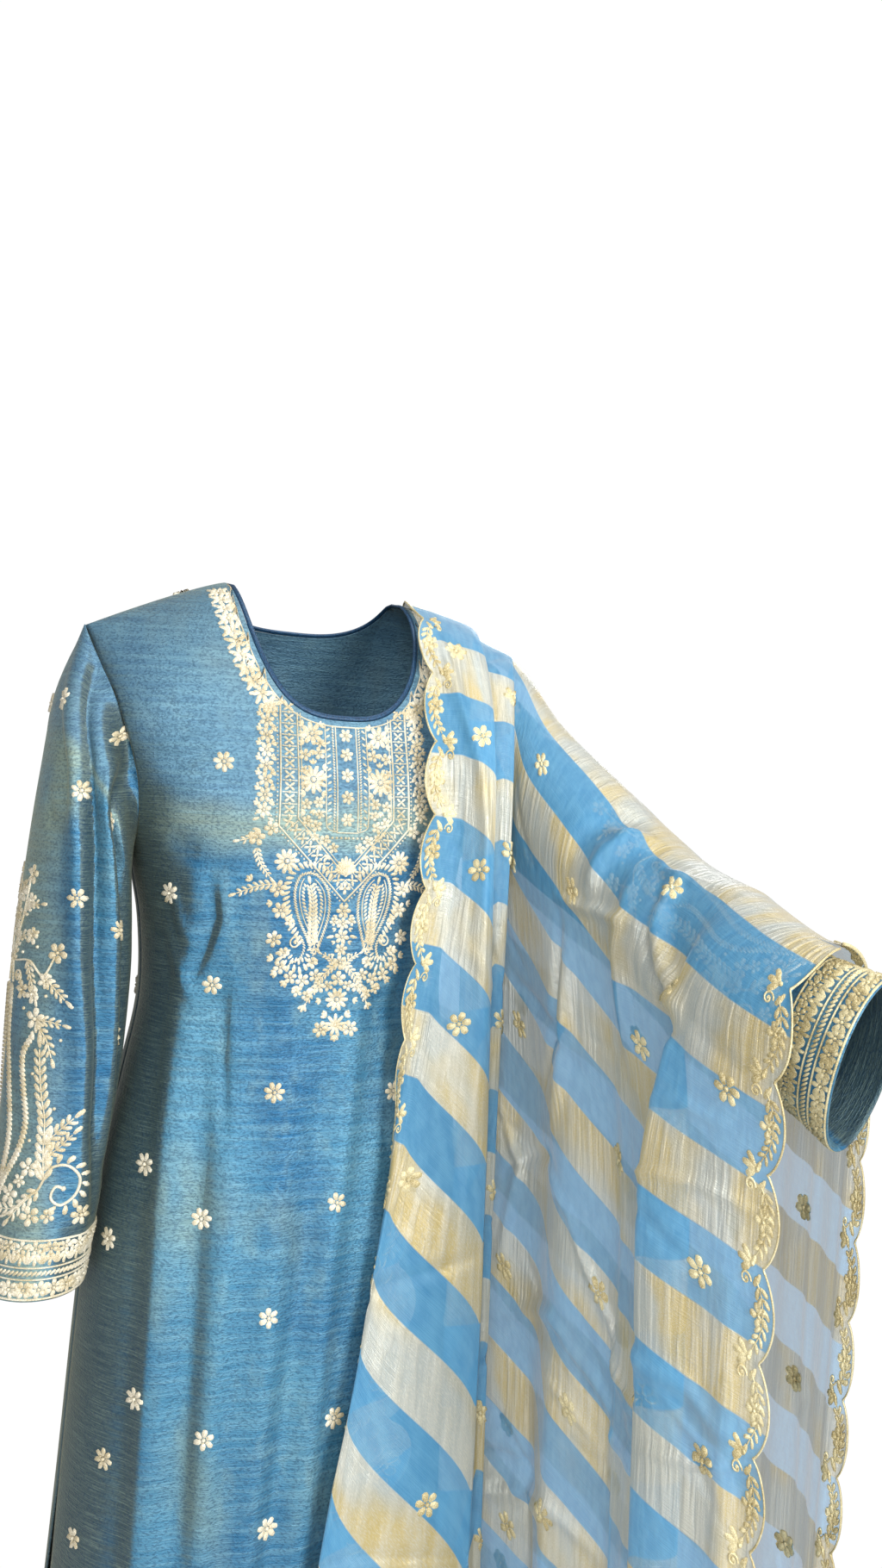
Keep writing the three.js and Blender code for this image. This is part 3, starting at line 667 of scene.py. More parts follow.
def left_ring(row, angle):
    """A ring across the raised sleeve, square to the way it points but for its lean."""
    heading = math.radians(row["heading"])
    ahead = np.array([math.cos(heading), -math.sin(heading), 0])
    inward = np.array([-math.sin(heading), -math.cos(heading), 0])
    low = (1 - np.cos(angle)) / 2
    centre = np.array([row["x"], row["y"], row["z"]])
    return (centre + np.outer(row["height"] * np.cos(angle), (0, 0, 1))
            + np.outer(row["width"] * np.sin(angle), inward) - np.outer(row["lean"] * low, ahead))


def sleeve(rows, ring, hand, around, down):
    """Rings from the armhole to the cuff. The first column is under the arm, at the seam."""
    angle = np.pi + np.linspace(0, 2 * np.pi, around + 1)[:-1]
    angle = np.mod(angle, 2 * np.pi)
    count = len(rows["x"])
    rings = np.stack([armhole(angle, hand)] + [
        ring({name: values[i] for name, values in rows.items()}, angle) for i in range(count)])
    stations = np.arange(count + 1.0)
    at = np.linspace(0, count, down)
    grid = np.zeros((down, around, 3))
    for c in range(around):
        for axis in range(3):
            grid[:, c, axis] = smooth({"k": stations, "p": rings[:, c, axis]}, "k", "p", at)
    girth = np.linalg.norm(np.roll(grid, -1, 1) - grid, axis=-1)
    u = np.concatenate([np.zeros((down, 1)), np.cumsum(girth, 1)[:, :-1]], 1)
    u = u - girth.sum(1, keepdims=True) / 2
    fall = np.linalg.norm(np.diff(grid, axis=0), axis=-1)
    v = np.concatenate([np.zeros((1, around)), np.cumsum(fall, 0)], 0)
    v = v[-1:] - v
    return Cloth(grid, np.stack([u, v], -1), wrap=True, facing=hand)


RIGHT_FOLDS = [
    ([(5, 548), (25, 504), (60, 429), (73, 359), (76, 270), (84, 198), (86, 133), (98, 44)],
     10, 8.0, 0.0),
    ([(40, 510), (80, 430), (92, 359), (92, 269), (99, 198), (100, 128), (112, 60)], 7, -9.0, 0.0),
    ([(66, 490), (112, 423), (112, 340), (109, 260), (114, 180), (118, 110)], 9, 7.0, 0.0),
    ([(84, 474), (130, 424), (134, 363), (128, 265), (130, 170), (134, 90)], 12, -9.0, 0.0),
    ([(24, 405), (40, 377), (56, 371)], 5, -2.0, 0.0),
    ([(30, 460), (52, 420), (60, 380)], 6, -2.5, 0.0),
    ([(-20, 520), (-62, 430), (-80, 300), (-92, 150), (-100, 60)], 13, 6.0, 0.0),
    ([(-60, 500), (-98, 420), (-108, 280), (-116, 140)], 10, -6.0, 0.0),
    ([(-130, 330), (-80, 318), (-40, 326)], 8, -3.0, 0.0),
    ([(-120, 280), (-70, 284), (-30, 276)], 7, 2.5, 0.0),
]
LEFT_FOLDS = [
    ([(-90, 470), (-40, 440), (30, 452)], 9, -4.0, 0.0),
    ([(-110, 400), (-50, 380), (40, 390)], 8, 4.0, 0.0),
    ([(100, 380), (60, 350), (20, 356)], 8, -3.5, 0.0),
    ([(70, 330), (86, 220), (92, 90)], 10, 4.0, 0.0),
    ([(-80, 320), (-92, 200), (-84, 70)], 11, -4.0, 0.0),
]

right_sleeve = sleeve(RIGHT_SLEEVE, right_ring, -1, 108, 130)
left_sleeve = sleeve(LEFT_SLEEVE, left_ring, 1, 96, 110)
# Painted side shade goes only on each sleeve's side facing +x. The right sleeve's upward face gets the
# painted sheen.
right_sleeve.away = left_sleeve.away = 1
right_sleeve.painted_sheen = right_sleeve.normals()[..., 2]
right_sleeve.press(RIGHT_FOLDS)
left_sleeve.press(LEFT_FOLDS)


# ---------------------------------------------------------------- the dupatta's fall
def thread_path(ridge, brow, hanging):
    """One lengthwise thread: over the brow as a quarter of an ellipse, then hanging."""
    a = np.linspace(0, np.pi / 2, 41)
    over = np.stack([
        ridge[0] + (brow[0] - ridge[0]) * np.sin(a), ridge[1] + (brow[1] - ridge[1]) * np.sin(a),
        ridge[2] + (brow[2] - ridge[2]) * (1 - np.cos(a)),
    ], -1)
    below = np.array([brow, *hanging], float)
    rows = {"x": below[:, 0], "y": below[:, 1], "z": below[:, 2]}
    z = np.linspace(brow[2], below[-1, 2], 201)[1:]
    fallen = np.stack([smooth(rows, "z", "x", z), smooth(rows, "z", "y", z), z], -1)
    return np.concatenate([over, fallen])


def dupatta_columns(u, lengths):
    """Points of the cloth at each width u and each length along it, below zero behind."""
    grid = np.zeros((len(lengths), len(u), 3))
    forward = lengths[-1] > 0
    for c, at in enumerate(u):
        front, fold = ({name: float(smooth(rows, "u", name, at)) for name in rows}
                       for rows in (FRONT_FALL, FRONT_FALL if forward else BACK_FALL))
        brow, low = (fold["bx"], fold["by"], fold["bz"]), (fold["lx"], fold["ly"])
        if forward:
            hanging = [(fold["wx"], fold["wy"], -450), (fold["hx"], fold["hy"], -640),
                       (*low, -1050), (*low, -1450)]
        else:
            hanging = [(*low, -1050), (*low, -1550)]
        path = thread_path((front["rx"], front["ry"], front["rz"]), brow, hanging)
        gone = np.concatenate([[0], np.cumsum(np.linalg.norm(np.diff(path, axis=0), axis=1))])
        for axis in range(3):
            grid[:, c, axis] = np.interp(np.abs(lengths), gone, path[:, axis])
    return grid


def scallop_depth(v):
    """How far the scalloped edge is cut in at each length."""
    return SCALLOP_DEPTH * (1 - np.abs(np.sin(np.pi * (v + SCALLOP_START) / SCALLOP)) ** 0.7)


def fall_sheet(lengths, columns):
    """One half of the dupatta, from the ridge to a hem, with both long edges cut in scallops."""
    base = np.linspace(0, DUPATTA_WIDTH, columns)
    grid = dupatta_columns(base, lengths)
    u = np.repeat(base[None], len(lengths), 0)
    lobe, blend = scallop_depth(lengths)[:, None], 30
    near = np.clip(1 - u / blend, 0, 1)
    far = np.clip(1 - (DUPATTA_WIDTH - u) / blend, 0, 1)
    cut = u + lobe * near - lobe * far
    at = cut / DUPATTA_WIDTH * (columns - 1)
    low = np.clip(at.astype(int), 0, columns - 2)
    share = (at - low)[..., None]
    row = np.arange(len(lengths))[:, None]
    points = grid[row, low] * (1 - share) + grid[row, low + 1] * share
    flat = np.stack([cut, np.repeat(lengths[:, None], columns, 1)], -1)
    return Cloth(points, flat, facing=-1 if lengths[-1] > 0 else 1)


FALL_CREASES = [
    ([(21, 60), (41, 140), (66, 203), (77, 270), (82, 359), (86, 430), (90, 560)], 9, 6.5, 0.0),
    ([(4, 120), (24, 190), (44, 280), (52, 420), (56, 600)], 12, -3.6, 0.0),
    ([(447, 96), (462, 67), (474, 38), (496, 14)], 9, -5.8, 0.0),
    ([(478, 100), (488, 66), (504, 42), (524, 22)], 9, 12.5, 0.0),
    ([(572, 30), (586, 57), (592, 92), (612, 120), (650, 131), (754, 136)], 7, -7.2, 0.0),
    ([(596, 40), (606, 78), (626, 102), (680, 116), (740, 112)], 9, 13.5, 0.0),
    ([(540, 60), (556, 84), (560, 130), (552, 200)], 14, 10.5, 0.0),
    ([(430, 148), (499, 108), (579, 86)], 5, 6.5, 0.0),
    ([(480, 48), (494, 42), (514, 26)], 5, 6.5, 0.0),
    ([(558, 30), (582, 34), (622, 24)], 5, 6.5, 0.0),
    ([(316, 295), (381, 283), (411, 273), (458, 270)], 7, -5.8, 0.0),
    ([(436, 160), (421, 222), (410, 273), (380, 340)], 6, -8.7, 0.0),
    ([(452, 165), (440, 222), (432, 290), (410, 360)], 8, 7.2, 0.0),
    ([(375, 392), (420, 396), (446, 400), (467, 425), (488, 440), (540, 470), (620, 476)], 6, 5.2, 0.0),
    ([(304, 606), (331, 584), (380, 540), (429, 502), (473, 505), (520, 518), (573, 511)], 6, 5.2, 0.0),
    ([(262, 800), (307, 765), (340, 737), (400, 690), (443, 648), (488, 641)], 6, 6.4, 0.0),
    ([(262, 770), (300, 735), (352, 706)], 6, -5.1, 0.0),
    ([(570, 283), (650, 262), (740, 236), (786, 219), (836, 213)], 4, 3.2, 0.0),
    ([(700, 372), (748, 375), (780, 365), (804, 378), (838, 371)], 7, 3.8, 0.0),
    ([(740, 438), (783, 416), (810, 403), (851, 378)], 4, 3.5, 0.0),
    ([(300, 480), (343, 435), (380, 405), (417, 384)], 6, -5.2, 0.0),
    ([(300, 430), (324, 460), (314, 500), (304, 560)], 6, 4.9, 0.0),
    ([(47, 600), (48, 660), (44, 720), (46, 800)], 10, -4.3, 0.0),
    ([(730, 140), (718, 300), (716, 500), (712, 800)], 12, 5.8, 0.0),
    ([(250, 300), (246, 560), (250, 900)], 12, 5.8, 0.0),
    ([(520, 220), (524, 400), (530, 840)], 14, 7.2, 0.0),
    ([(566, 240), (574, 420), (582, 800)], 12, -6.5, 0.0),
    ([(640, 190), (646, 400), (650, 900)], 14, 5.8, 0.0),
    ([(812, 260), (818, 500), (822, 900)], 12, 4.3, 0.0),
    ([(22, 420), (22, 700), (26, 960)], 12, 4.3, 0.0),
    ([(350, 620), (356, 760), (350, 960)], 12, -5.8, 0.0),
    ([(430, 560), (440, 760), (436, 960)], 13, 6.5, 0.0),
]
BEHIND_CREASES = [
    ([(120, -40), (128, -300), (120, -700), (126, -1040)], 14, 5.0, 0.0),
    ([(210, -60), (204, -360), (212, -900)], 13, -5.0, 0.0),
    ([(300, -30), (308, -400), (300, -1000)], 15, 5.0, 0.0),
    ([(390, -60), (384, -420), (392, -940)], 14, -5.0, 0.0),
    ([(470, -40), (478, -360), (470, -1040)], 15, 5.5, 0.0),
    ([(560, -40), (552, -400), (560, -900)], 13, -4.5, 0.0),
    ([(650, -30), (660, -420), (652, -1040)], 15, 5.0, 0.0),
    ([(740, -50), (734, -380), (742, -860)], 12, -4.0, 0.0),
    ([(800, -40), (806, -360), (800, -1000)], 12, 3.5, 0.0),
    ([(862, -10), (862, -500), (862, -1058)], 26, 15.0, 0.0),
    ([(60, -200), (150, -230), (240, -214)], 8, 2.6, 0.0),
    ([(330, -180), (420, -240), (520, -250)], 8, -3.0, 0.0),
    ([(560, -160), (640, -190), (760, -170)], 7, 2.8, 0.0),
]


def small_creases(seed, count, lengths):
    """Short shallow wrinkles spread over one half of the dupatta."""
    chance = np.random.default_rng(seed)
    made = []
    for _ in range(count):
        u = chance.uniform(30, DUPATTA_WIDTH - 30)
        v = chance.uniform(min(lengths) + 60, max(lengths) - 60)
        turn, reach = chance.uniform(-0.9, 0.9), chance.uniform(18, 45)
        x, y = reach * math.cos(turn), reach * math.sin(turn)
        path = [(u - x, v - y), (u, v + chance.uniform(-6, 6)), (u + x, v + y)]
        width, height = chance.uniform(3.5, 6), chance.uniform(1.0, 2.4) * chance.choice([-1, 1])
        made.append((path, width, height, 0.0))
    return made


dupatta_front = fall_sheet(np.linspace(0, DUPATTA_FRONT, 276), 264)
dupatta_back = fall_sheet(-np.linspace(0, DUPATTA_BACK, 221), 201)
dupatta_front.press(FALL_CREASES + small_creases(5, 60, dupatta_front.flat[:, 0, 1]))
dupatta_back.press(BEHIND_CREASES + small_creases(8, 40, dupatta_back.flat[:, 0, 1]))
BIAS = table("u skew", [(0, 0), (44, 30), (98, 180), (132, 170), (180, 0), (DUPATTA_WIDTH, 0)])


def on_the_bias(flat):
    """The stretch over the chest hangs on the bias, so its stripes slant more towards the hem."""
    u, v = flat[..., 0], flat[..., 1]
    skew = np.interp(u, BIAS["u"], BIAS["skew"])
    return np.stack([u, v - skew * (v / DUPATTA_FRONT) ** 1.3], -1)


dupatta_front.drawn = on_the_bias(dupatta_front.flat)


# ---------------------------------------------------------------- sharara
def hip_point(half, front, back, angle, z):
    """A point on the rounded section of waist or hips."""
    c, s = np.cos(angle), np.sin(angle)
    depth = np.where(s < 0, front, back)
    return np.stack(np.broadcast_arrays(
        half * np.sign(c) * np.abs(c) ** 0.9, depth * np.sign(s) * np.abs(s) ** 0.92, z), -1)


def leg_place(w, v, hand):
    """w goes round a leg from the front centre seam to the back one, v down it from 0 to 2."""
    seam = 0.4
    z_hip = HIPS["z"][0] + np.minimum(v, 1) * (CROTCH_Z - HIPS["z"][0])
    half, front, back = (smooth(HIPS, "z", name, z_hip) for name in ("half", "front", "back"))
    hip = hip_point(half, front, back, -np.pi / 2 + np.pi * w, z_hip)
    hip[..., 0] = np.maximum(hip[..., 0], seam)
    z = CROTCH_Z + np.maximum(v - 1, 0) * (SHARARA_HEM_Z - CROTCH_Z)
    opened = np.clip((v - 1) / 0.06, 0, 1)[..., None]
    inner, outer, front, back = (smooth(LEG, "z", name, z)
                                 for name in ("inner", "outer", "front", "back"))
    flare = np.clip((FLARE_TOP_Z - z) / (FLARE_TOP_Z - SHARARA_HEM_Z), 0, 1) ** 1.3
    turn = -np.pi + seam / 100 + 2 * (np.pi - seam / 100) * w
    fade = np.sin(np.pi * w) ** 0.4
    flute = FLUTE_DEPTH * flare * np.sin(FLUTES * turn + 0.7 * np.sin(turn)) * fade
    c, s = np.cos(turn), np.sin(turn)
    ring = np.stack([(inner + outer) / 2 + ((outer - inner) / 2 + flute) * c,
                     np.where(s < 0, front, back) * s + flute * s, z], -1)
    point = hip * (1 - opened) + ring * opened
    point[..., 2] = np.where(v <= 1, z_hip, z)
    point[..., 0] = np.maximum(point[..., 0], seam)
    return point * np.array([hand, 1, 1])


def leg(hand):
    """One flared leg, from its waist seam to the hem, as one cloth closed by the inseam."""
    w = np.linspace(0.002, 0.998, 133)
    v = np.concatenate([np.linspace(0, 1, 31), np.linspace(1, 2, 81)[1:]])
    vv, ww = np.meshgrid(v, w, indexing="ij")
    points = leg_place(ww, vv, hand)
    girth = np.linalg.norm(np.diff(points, axis=1), axis=-1)
    u = np.concatenate([np.zeros((len(v), 1)), np.cumsum(girth, 1)], 1)
    u = u - u[:, -1:] / 2
    return Cloth(points, np.stack([u, points[..., 2]], -1), facing=-hand)


def waistband():
    """A band with fine gathers, which fade out at its top and foot."""
    around, down = 180, 12
    angle = np.linspace(0, 2 * np.pi, around + 1)[:-1]
    rows = []
    for drop in np.linspace(0, WAIST_HEIGHT - SEAM_GAP, down):
        gather = 1 + 0.004 * np.sin(60 * angle) * math.sin(math.pi * drop / WAIST_HEIGHT)
        row = hip_point(WAIST_HALF, WAIST_FRONT, WAIST_BACK, angle,
                        np.full_like(angle, WAIST_TOP_Z - drop))
        rows.append(row * np.stack([gather, gather, np.ones_like(gather)], -1))
    points = np.stack(rows)
    u = np.linspace(-380, 380, around)[None].repeat(down, 0)
    return Cloth(points, np.stack([u, points[..., 2]], -1), wrap=True, facing=-1)


LEG_CREASES = [
    ([(-170, -760), (-190, -1000), (-230, -1420)], 16, 4, 0.2),
    ([(-90, -800), (-100, -1050), (-130, -1425)], 13, -4, 0.0),
    ([(-30, -740), (-30, -1000), (-40, -1425)], 18, 4, -0.2),
    ([(60, -780), (80, -1050), (110, -1420)], 14, 4, 0.0),
    ([(130, -820), (160, -1100), (220, -1425)], 15, -4, 0.2),
    ([(210, -900), (260, -1150), (330, -1425)], 13, 4, 0.0),
    ([(-250, -950), (-320, -1200), (-420, -1425)], 14, 4, 0.0),
    ([(-20, -705), (-80, -730), (-150, -742)], 9, 2.5, 0.2),
]

legs = {"right": leg(-1), "left": leg(1)}
for name, cloth in legs.items():
    cloth.press(LEG_CREASES)
    piece = finish_piece(cloth.sew(f"sharara_{name}", SILK, CLOTH), "tissue_silk",
                         f"sharara_leg_{name}")
piece = finish_piece(waistband().sew("sharara_waist", SILK, CLOTH * 1.8), "tissue_silk",
                     "sharara_waistband")

# ---------------------------------------------------------------- needlework
PETAL_STATIONS = ((0.16, 0.34), (0.56, 0.56), (0.9, 0.42))
SUNK = -0.3  # stitches start this far inside the cloth
PETAL = np.array([(0, 0, SUNK)] + [
    (k, side * half, SUNK if side else 1) for k, half in PETAL_STATIONS for side in (-1, 0, 1)
] + [(1, 0, SUNK)], float)
PETAL_FACES = [(0, 1, 2), (0, 2, 3), (1, 4, 5, 2), (2, 5, 6, 3), (4, 7, 8, 5), (5, 8, 9, 6),
               (7, 10, 8), (8, 10, 9)]
SIX = np.linspace(0, 2 * np.pi, 7)[:-1]
BEAD = np.concatenate([np.stack([np.cos(SIX) * r, np.sin(SIX) * r, np.full(6, h)], -1)
                       for r, h in ((1, -0.15), (0.82, 0.62))] + [[(0, 0, 1)]])
BEAD_FACES = [(i, (i + 1) % 6, 6 + (i + 1) % 6, 6 + i) for i in range(6)] + [
    (6 + i, 6 + (i + 1) % 6, 12) for i in range(6)]


def away_from(u, v, reach, turn):
    """The spot at a distance and a direction, in degrees, from another."""
    a = math.radians(turn)
    return u + reach * math.cos(a), v + reach * math.sin(a)


def round_about(u, v, radius, count):
    """Spots on a circle round another, closed but for a hair."""
    return [(u + radius * math.cos(a), v + radius * math.sin(a))
            for a in np.linspace(0, 6.2, count)]


def curve(points, gap=2.0):
    """A smooth run through a few points, resampled at even steps."""
    p = np.asarray(points, float)
    t = np.concatenate([[0], np.cumsum(np.linalg.norm(np.diff(p, axis=0), axis=1))])
    if len(p) > 2:
        fine = np.linspace(0, t[-1], 12 * len(p))
        p = np.stack([smooth({"t": t, "p": p[:, axis]}, "t", "p", fine) for axis in (0, 1)], -1)
        t = np.concatenate([[0], np.cumsum(np.linalg.norm(np.diff(p, axis=0), axis=1))])
    even = np.linspace(0, t[-1], max(2, int(round(t[-1] / gap)) + 1))
    return np.stack([np.interp(even, t, p[:, axis]) for axis in (0, 1)], -1)


def bent(points, gap):
    """Straight lines through a few points, resampled at about even steps, corners kept."""
    runs = [np.linspace(a, b, max(1, int(round(math.dist(a, b) / gap))), endpoint=False)
            for a, b in zip(points[:-1], points[1:])]
    return np.concatenate(runs + [[points[-1]]])


def heading(path):
    step = np.gradient(path, axis=0)
    return np.degrees(np.arctan2(step[:, 1], step[:, 0]))


def beside(path, offset):
    """The same run moved sideways, to its left for a positive offset."""
    step = np.gradient(path, axis=0)
    step /= np.maximum(np.linalg.norm(step, axis=1, keepdims=True), 1e-9)
    return path + offset * np.stack([-step[:, 1], step[:, 0]], -1)


class Needlework:
    """Raised stitches, cords and beads on one cloth, in millimetres of its flat form."""

    def __init__(self, cloth, sides=(1,)):
        self.cloth, self.sides, self.mirror, self.squeeze = cloth, sides, 1, (0, 1)
        self.spots, self.faces, self.count = [], [], 0

    def add(self, spots, faces):
        middle, stretch = self.squeeze
        spots = (spots - (middle, 0, 0)) / (stretch, 1, 1) + (middle, 0, 0)
        spots = spots * np.array([self.mirror, 1, 1])
        for side in self.sides:
            order = 1 if self.mirror * self.cloth.facing * self.cloth.hand * side > 0 else -1
            self.spots.append(spots * np.array([1, 1, side]))
            self.faces += [tuple(i + self.count for i in face[::order]) for face in faces]
            self.count += len(spots)

    def petal(self, u, v, turn, length, width, height=1.2, bend=0.0):
        c, s = math.cos(math.radians(turn)), math.sin(math.radians(turn))
        along, across = PETAL[:, 0] * length, PETAL[:, 1] * width + bend * PETAL[:, 0] ** 2 * length
        place = [u + along * c - across * s, v + along * s + across * c, PETAL[:, 2] * height]
        self.add(np.stack(place, -1), PETAL_FACES)

    def bead(self, u, v, radius=1.1, height=1.4):
        self.add(BEAD * (radius, radius, height) + (u, v, 0), BEAD_FACES)

    def cord(self, path, width=1.1, height=0.9):
        path = np.asarray(path, float)
        count = len(path)
        rows = [np.concatenate([beside(path, side * width), np.full((count, 1), lift)], 1)
                for side, lift in ((-0.5, SUNK), (-0.25, height), (0.25, height), (0.5, SUNK))]
        faces = [(r * count + i, r * count + i + 1, (r + 1) * count + i + 1, (r + 1) * count + i)
                 for r in range(3) for i in range(count - 1)]
        self.add(np.concatenate(rows), faces)

    def rope(self, path, width=2.6, pitch=2.6, height=1.5):
        """A twisted cord: short slanting stitches, each over the last."""
        path = curve(path, pitch)
        half, slant = width * 0.62, 42
        for (u, v), turn in zip(path, heading(path) + slant):
            self.petal(*away_from(u, v, -half, turn), turn, 2 * half, pitch * 0.74, height)

    def beads(self, path, gap=3.2, radius=0.9, height=1.1):
        for u, v in curve(path, gap):
            self.bead(u, v, radius, height)

    def floret(self, u, v, size=9.0, petals=7, turn=0.0, height=1.8):
        wide = 2.3 * size * math.sin(math.pi / petals) * 0.56
        for k in range(petals):
            a = turn + 360 * k / petals
            self.petal(*away_from(u, v, 0.16 * size, a), a, size * 0.84, wide, height)
        self.bead(u, v, size * 0.2, height * 1.3)

    def florets(self, rows, twist):
        """Flowers of five petals, each turned a little further than its neighbour."""
        for u, v, size in rows:
            self.floret(u, v, size, 5, twist * u)

    def fans(self, rows, size, open_by):
        for u, v, turn in rows:
            self.fan(u, v, turn, size, 3, open_by)

    def leaves(self, path, leaf=5.5, gap=4.0, spread=48, start=0):
        """A stem with leaves in pairs and one at its tip."""
        stem = curve(path, 1.6)
        self.cord(stem, 1.2, 0.9)
        places = curve(path, gap)
        for i, ((u, v), turn) in enumerate(zip(places, heading(places))):
            if i < start or i == len(places) - 1:
                continue
            size = leaf * (1 - 0.3 * i / len(places))
            for side in (1, -1):
                self.petal(u, v, turn + side * spread, size, size * 0.48, 1.4, -0.12 * side)
        self.petal(*places[-1], heading(places)[-1], leaf * 1.1, leaf * 0.5)

    def curl(self, u, v, radius, turn, rounds, hand, width):
        """A cord that winds in towards a bead."""
        k = np.linspace(0, 1, int(14 * rounds) + 3)
        a = np.radians(turn) + hand * 2 * np.pi * rounds * k
        r = radius * (1 - 0.82 * k)
        self.cord(np.stack([u + r * np.cos(a), v + r * np.sin(a)], -1), width, 1.1)
        self.bead(u, v, width * 0.75, 1.4)

    def fan(self, u, v, turn, size=7.0, count=3, open_by=34, width=0.48):
        """Petals spread from one spot."""
        for k in range(count):
            side = k - (count - 1) / 2
            self.petal(u, v, turn + side * open_by, size * (1 - 0.08 * abs(side)), size * width)

    def made(self, name, material):
        """Lays every stitch on the cloth and joins them into one piece."""
        laid = self.cloth.lay(np.concatenate(self.spots))
        return finish_piece(build(name, laid, self.faces, material), "gold_thread")


BUTI = 9.2  # radius of the small flowers scattered on the silk


def butis(work, spots):
    for i, (u, v) in enumerate(spots):
        work.floret(u, v, BUTI * (0.94 + 0.05 * (i % 3)), 7 if i % 3 else 6, 17 * i % 60)


def clear_of(spots, taken, gap):
    return [spot for spot in spots if all(math.dist(spot, other) > gap for other in taken)]


# ---------------------------------------------------------------- the kurta's yoke
def placket(work):
    """Half of the plain opening down the middle, between its lines, ropes and beads."""
    work.cord(curve([(-9.5, -124), (-9.5, -214)]), 1.1)
    work.cord(curve([(-19, -122), (-19, -210), (-13, -214), (-9.5, -214)]), 1.0)
    work.rope([(-12.2, -124), (-12.2, -212)], 2.0, 2.4)
    for k in range(15):
        v = -126 - 5.8 * k
        work.petal(-18.4, v - 2.2, 38, 4.6, 2.2)
        work.bead(-15.6, v, 0.8, 1.0)
    work.cord(curve([(0, -215), (-10, -215)]), 1.0)
    for u in (-1.5, -5.5, -9.5, -13.5, -17.5):
        work.bead(u, -219.5, 1.2, 1.5)


def v_column(work):
    """The column of crossed bars and leaves that turns in to the point of the V."""
    inner = bent([(-43.5, -114), (-44, -204), (-22, -228), (0, -252)], 1.6)
    outer = bent([(-58, -104), (-60, -211), (-31, -241), (0, -273)], 1.6)
    middle = bent([(-50.8, -109), (-52, -207), (-26.5, -234.5), (0, -262)], 4.9)
    work.cord(inner, 1.4, 1.1)
    work.cord(beside(inner, 2.6), 0.9, 0.8)
    work.cord(outer, 1.6, 1.2)
    for i, ((u, v), turn) in enumerate(zip(middle, heading(middle))):
        if i % 2:
            work.cord([away_from(u, v, k, turn + 90) for k in (-6.4, 0, 6.4)], 1.0, 0.8)
            work.bead(u, v, 1.5, 1.8)
        else:
            for side in (52, -52, 128, -128):
                work.petal(u, v, turn + side, 5.4, 2.4)
            work.bead(u, v, 1.1, 1.7)
    work.beads(beside(outer, -2.6), 3.4, 0.9, 1.1)


def flower_field(work):
    """Flowers and leaves in the field beside the placket."""
    work.floret(-31, -171, 12.6, 11, 8, 1.7)
    work.beads(round_about(-31, -171, 8, 14), 3.4, 0.8, 1.9)
    work.floret(-31, -131, 10.5, 8, 10)
    work.floret(-25, -148, 5.8, 5, 30)
    work.floret(-38, -150, 5.6, 5, 0)
    work.floret(-26, -190, 5.4, 6)
    work.floret(-37, -192, 5.0, 5, 20)
    work.fans([(-31, -158, 90), (-38, -140, 160), (-23, -140, 20), (-38, -182, 200), (-24, -182, -20),
               (-31, -196, 270), (-38, -124, 150), (-24, -124, 30), (-31, -145, 270), (-23, -160, 0)],
              5.4, 40)
    work.florets([(-36, -206, 5.0), (-28, -210, 5.4), (-25, -200, 4.4), (-20, -222, 5.4),
                  (-12, -228, 4.8), (-29, -219, 4.0), (-38, -177, 4.2), (-24, -139, 4.0),
                  (-39, -132, 4.4), (-39, -163, 4.0)], 4)
    work.fans([(-33, -214, 230), (-24, -226, 235), (-16, -234, 240), (-38, -198, 200), (-23, -168, 0)],
              5.0, 40)
    for u, v in ((-35, -160), (-27, -160), (-40, -170), (-21, -171), (-36, -202), (-21, -198),
                 (-28, -220), (-17, -228)):
        work.bead(u, v, 1.1, 1.4)


def flower_column(work):
    """The column of flowers outside the V, and the loose sprays below it."""
    for i in range(8):
        v = -110 - 12.6 * i
        u = -69 - 0.6 * i
        work.floret(u, v, 6.8, 6, 20 * i)
        work.petal(u - 3, v - 6.4, 200, 6.4, 3.0)
        work.petal(u + 3, v - 6.4, -20, 6.0, 3.0)
        work.bead(u, v - 6.4, 1.0, 1.5)
        work.fan(u - 4.5, v + 6, 150, 4.8, 2, 50)
        work.fan(u + 4.5, v + 6, 30, 4.6, 2, 50)
        work.bead(u + 6.2, v - 4.6, 1.0, 1.3)
        work.bead(u - 6.6, v - 3.4, 1.0, 1.3)
    work.leaves([(-76, -214), (-84, -222), (-91, -224)], 6.0, 4.2)
    work.floret(-78, -221, 7.5, 5, 10)
    work.floret(-66, -213, 6.5, 5, 40)
    work.leaves([(-78, -230), (-74, -242), (-66, -253)], 5.4, 4.0)
    work.floret(-52, -240, 11.0, 10, 5, 1.7)
    work.beads(round_about(-52, -240, 6.6, 12), 3.2, 0.7, 1.9)
    work.leaves([(-60, -259), (-74, -261), (-92, -268)], 6.6, 4.6)
    work.floret(-58, -263, 7.6, 6, 15)
    work.fan(-80, -257, 140, 6.2, 3, 36)
    work.floret(-55, -281, 7.4, 6, 0)
    work.fan(-62, -275, 190, 5.6, 3, 36)
    work.fan(-47, -286, 240, 5.2, 3, 36)
    work.floret(-59, -305, 7.2, 6, 25)
    work.bead(-47, -297, 1.3, 1.5)


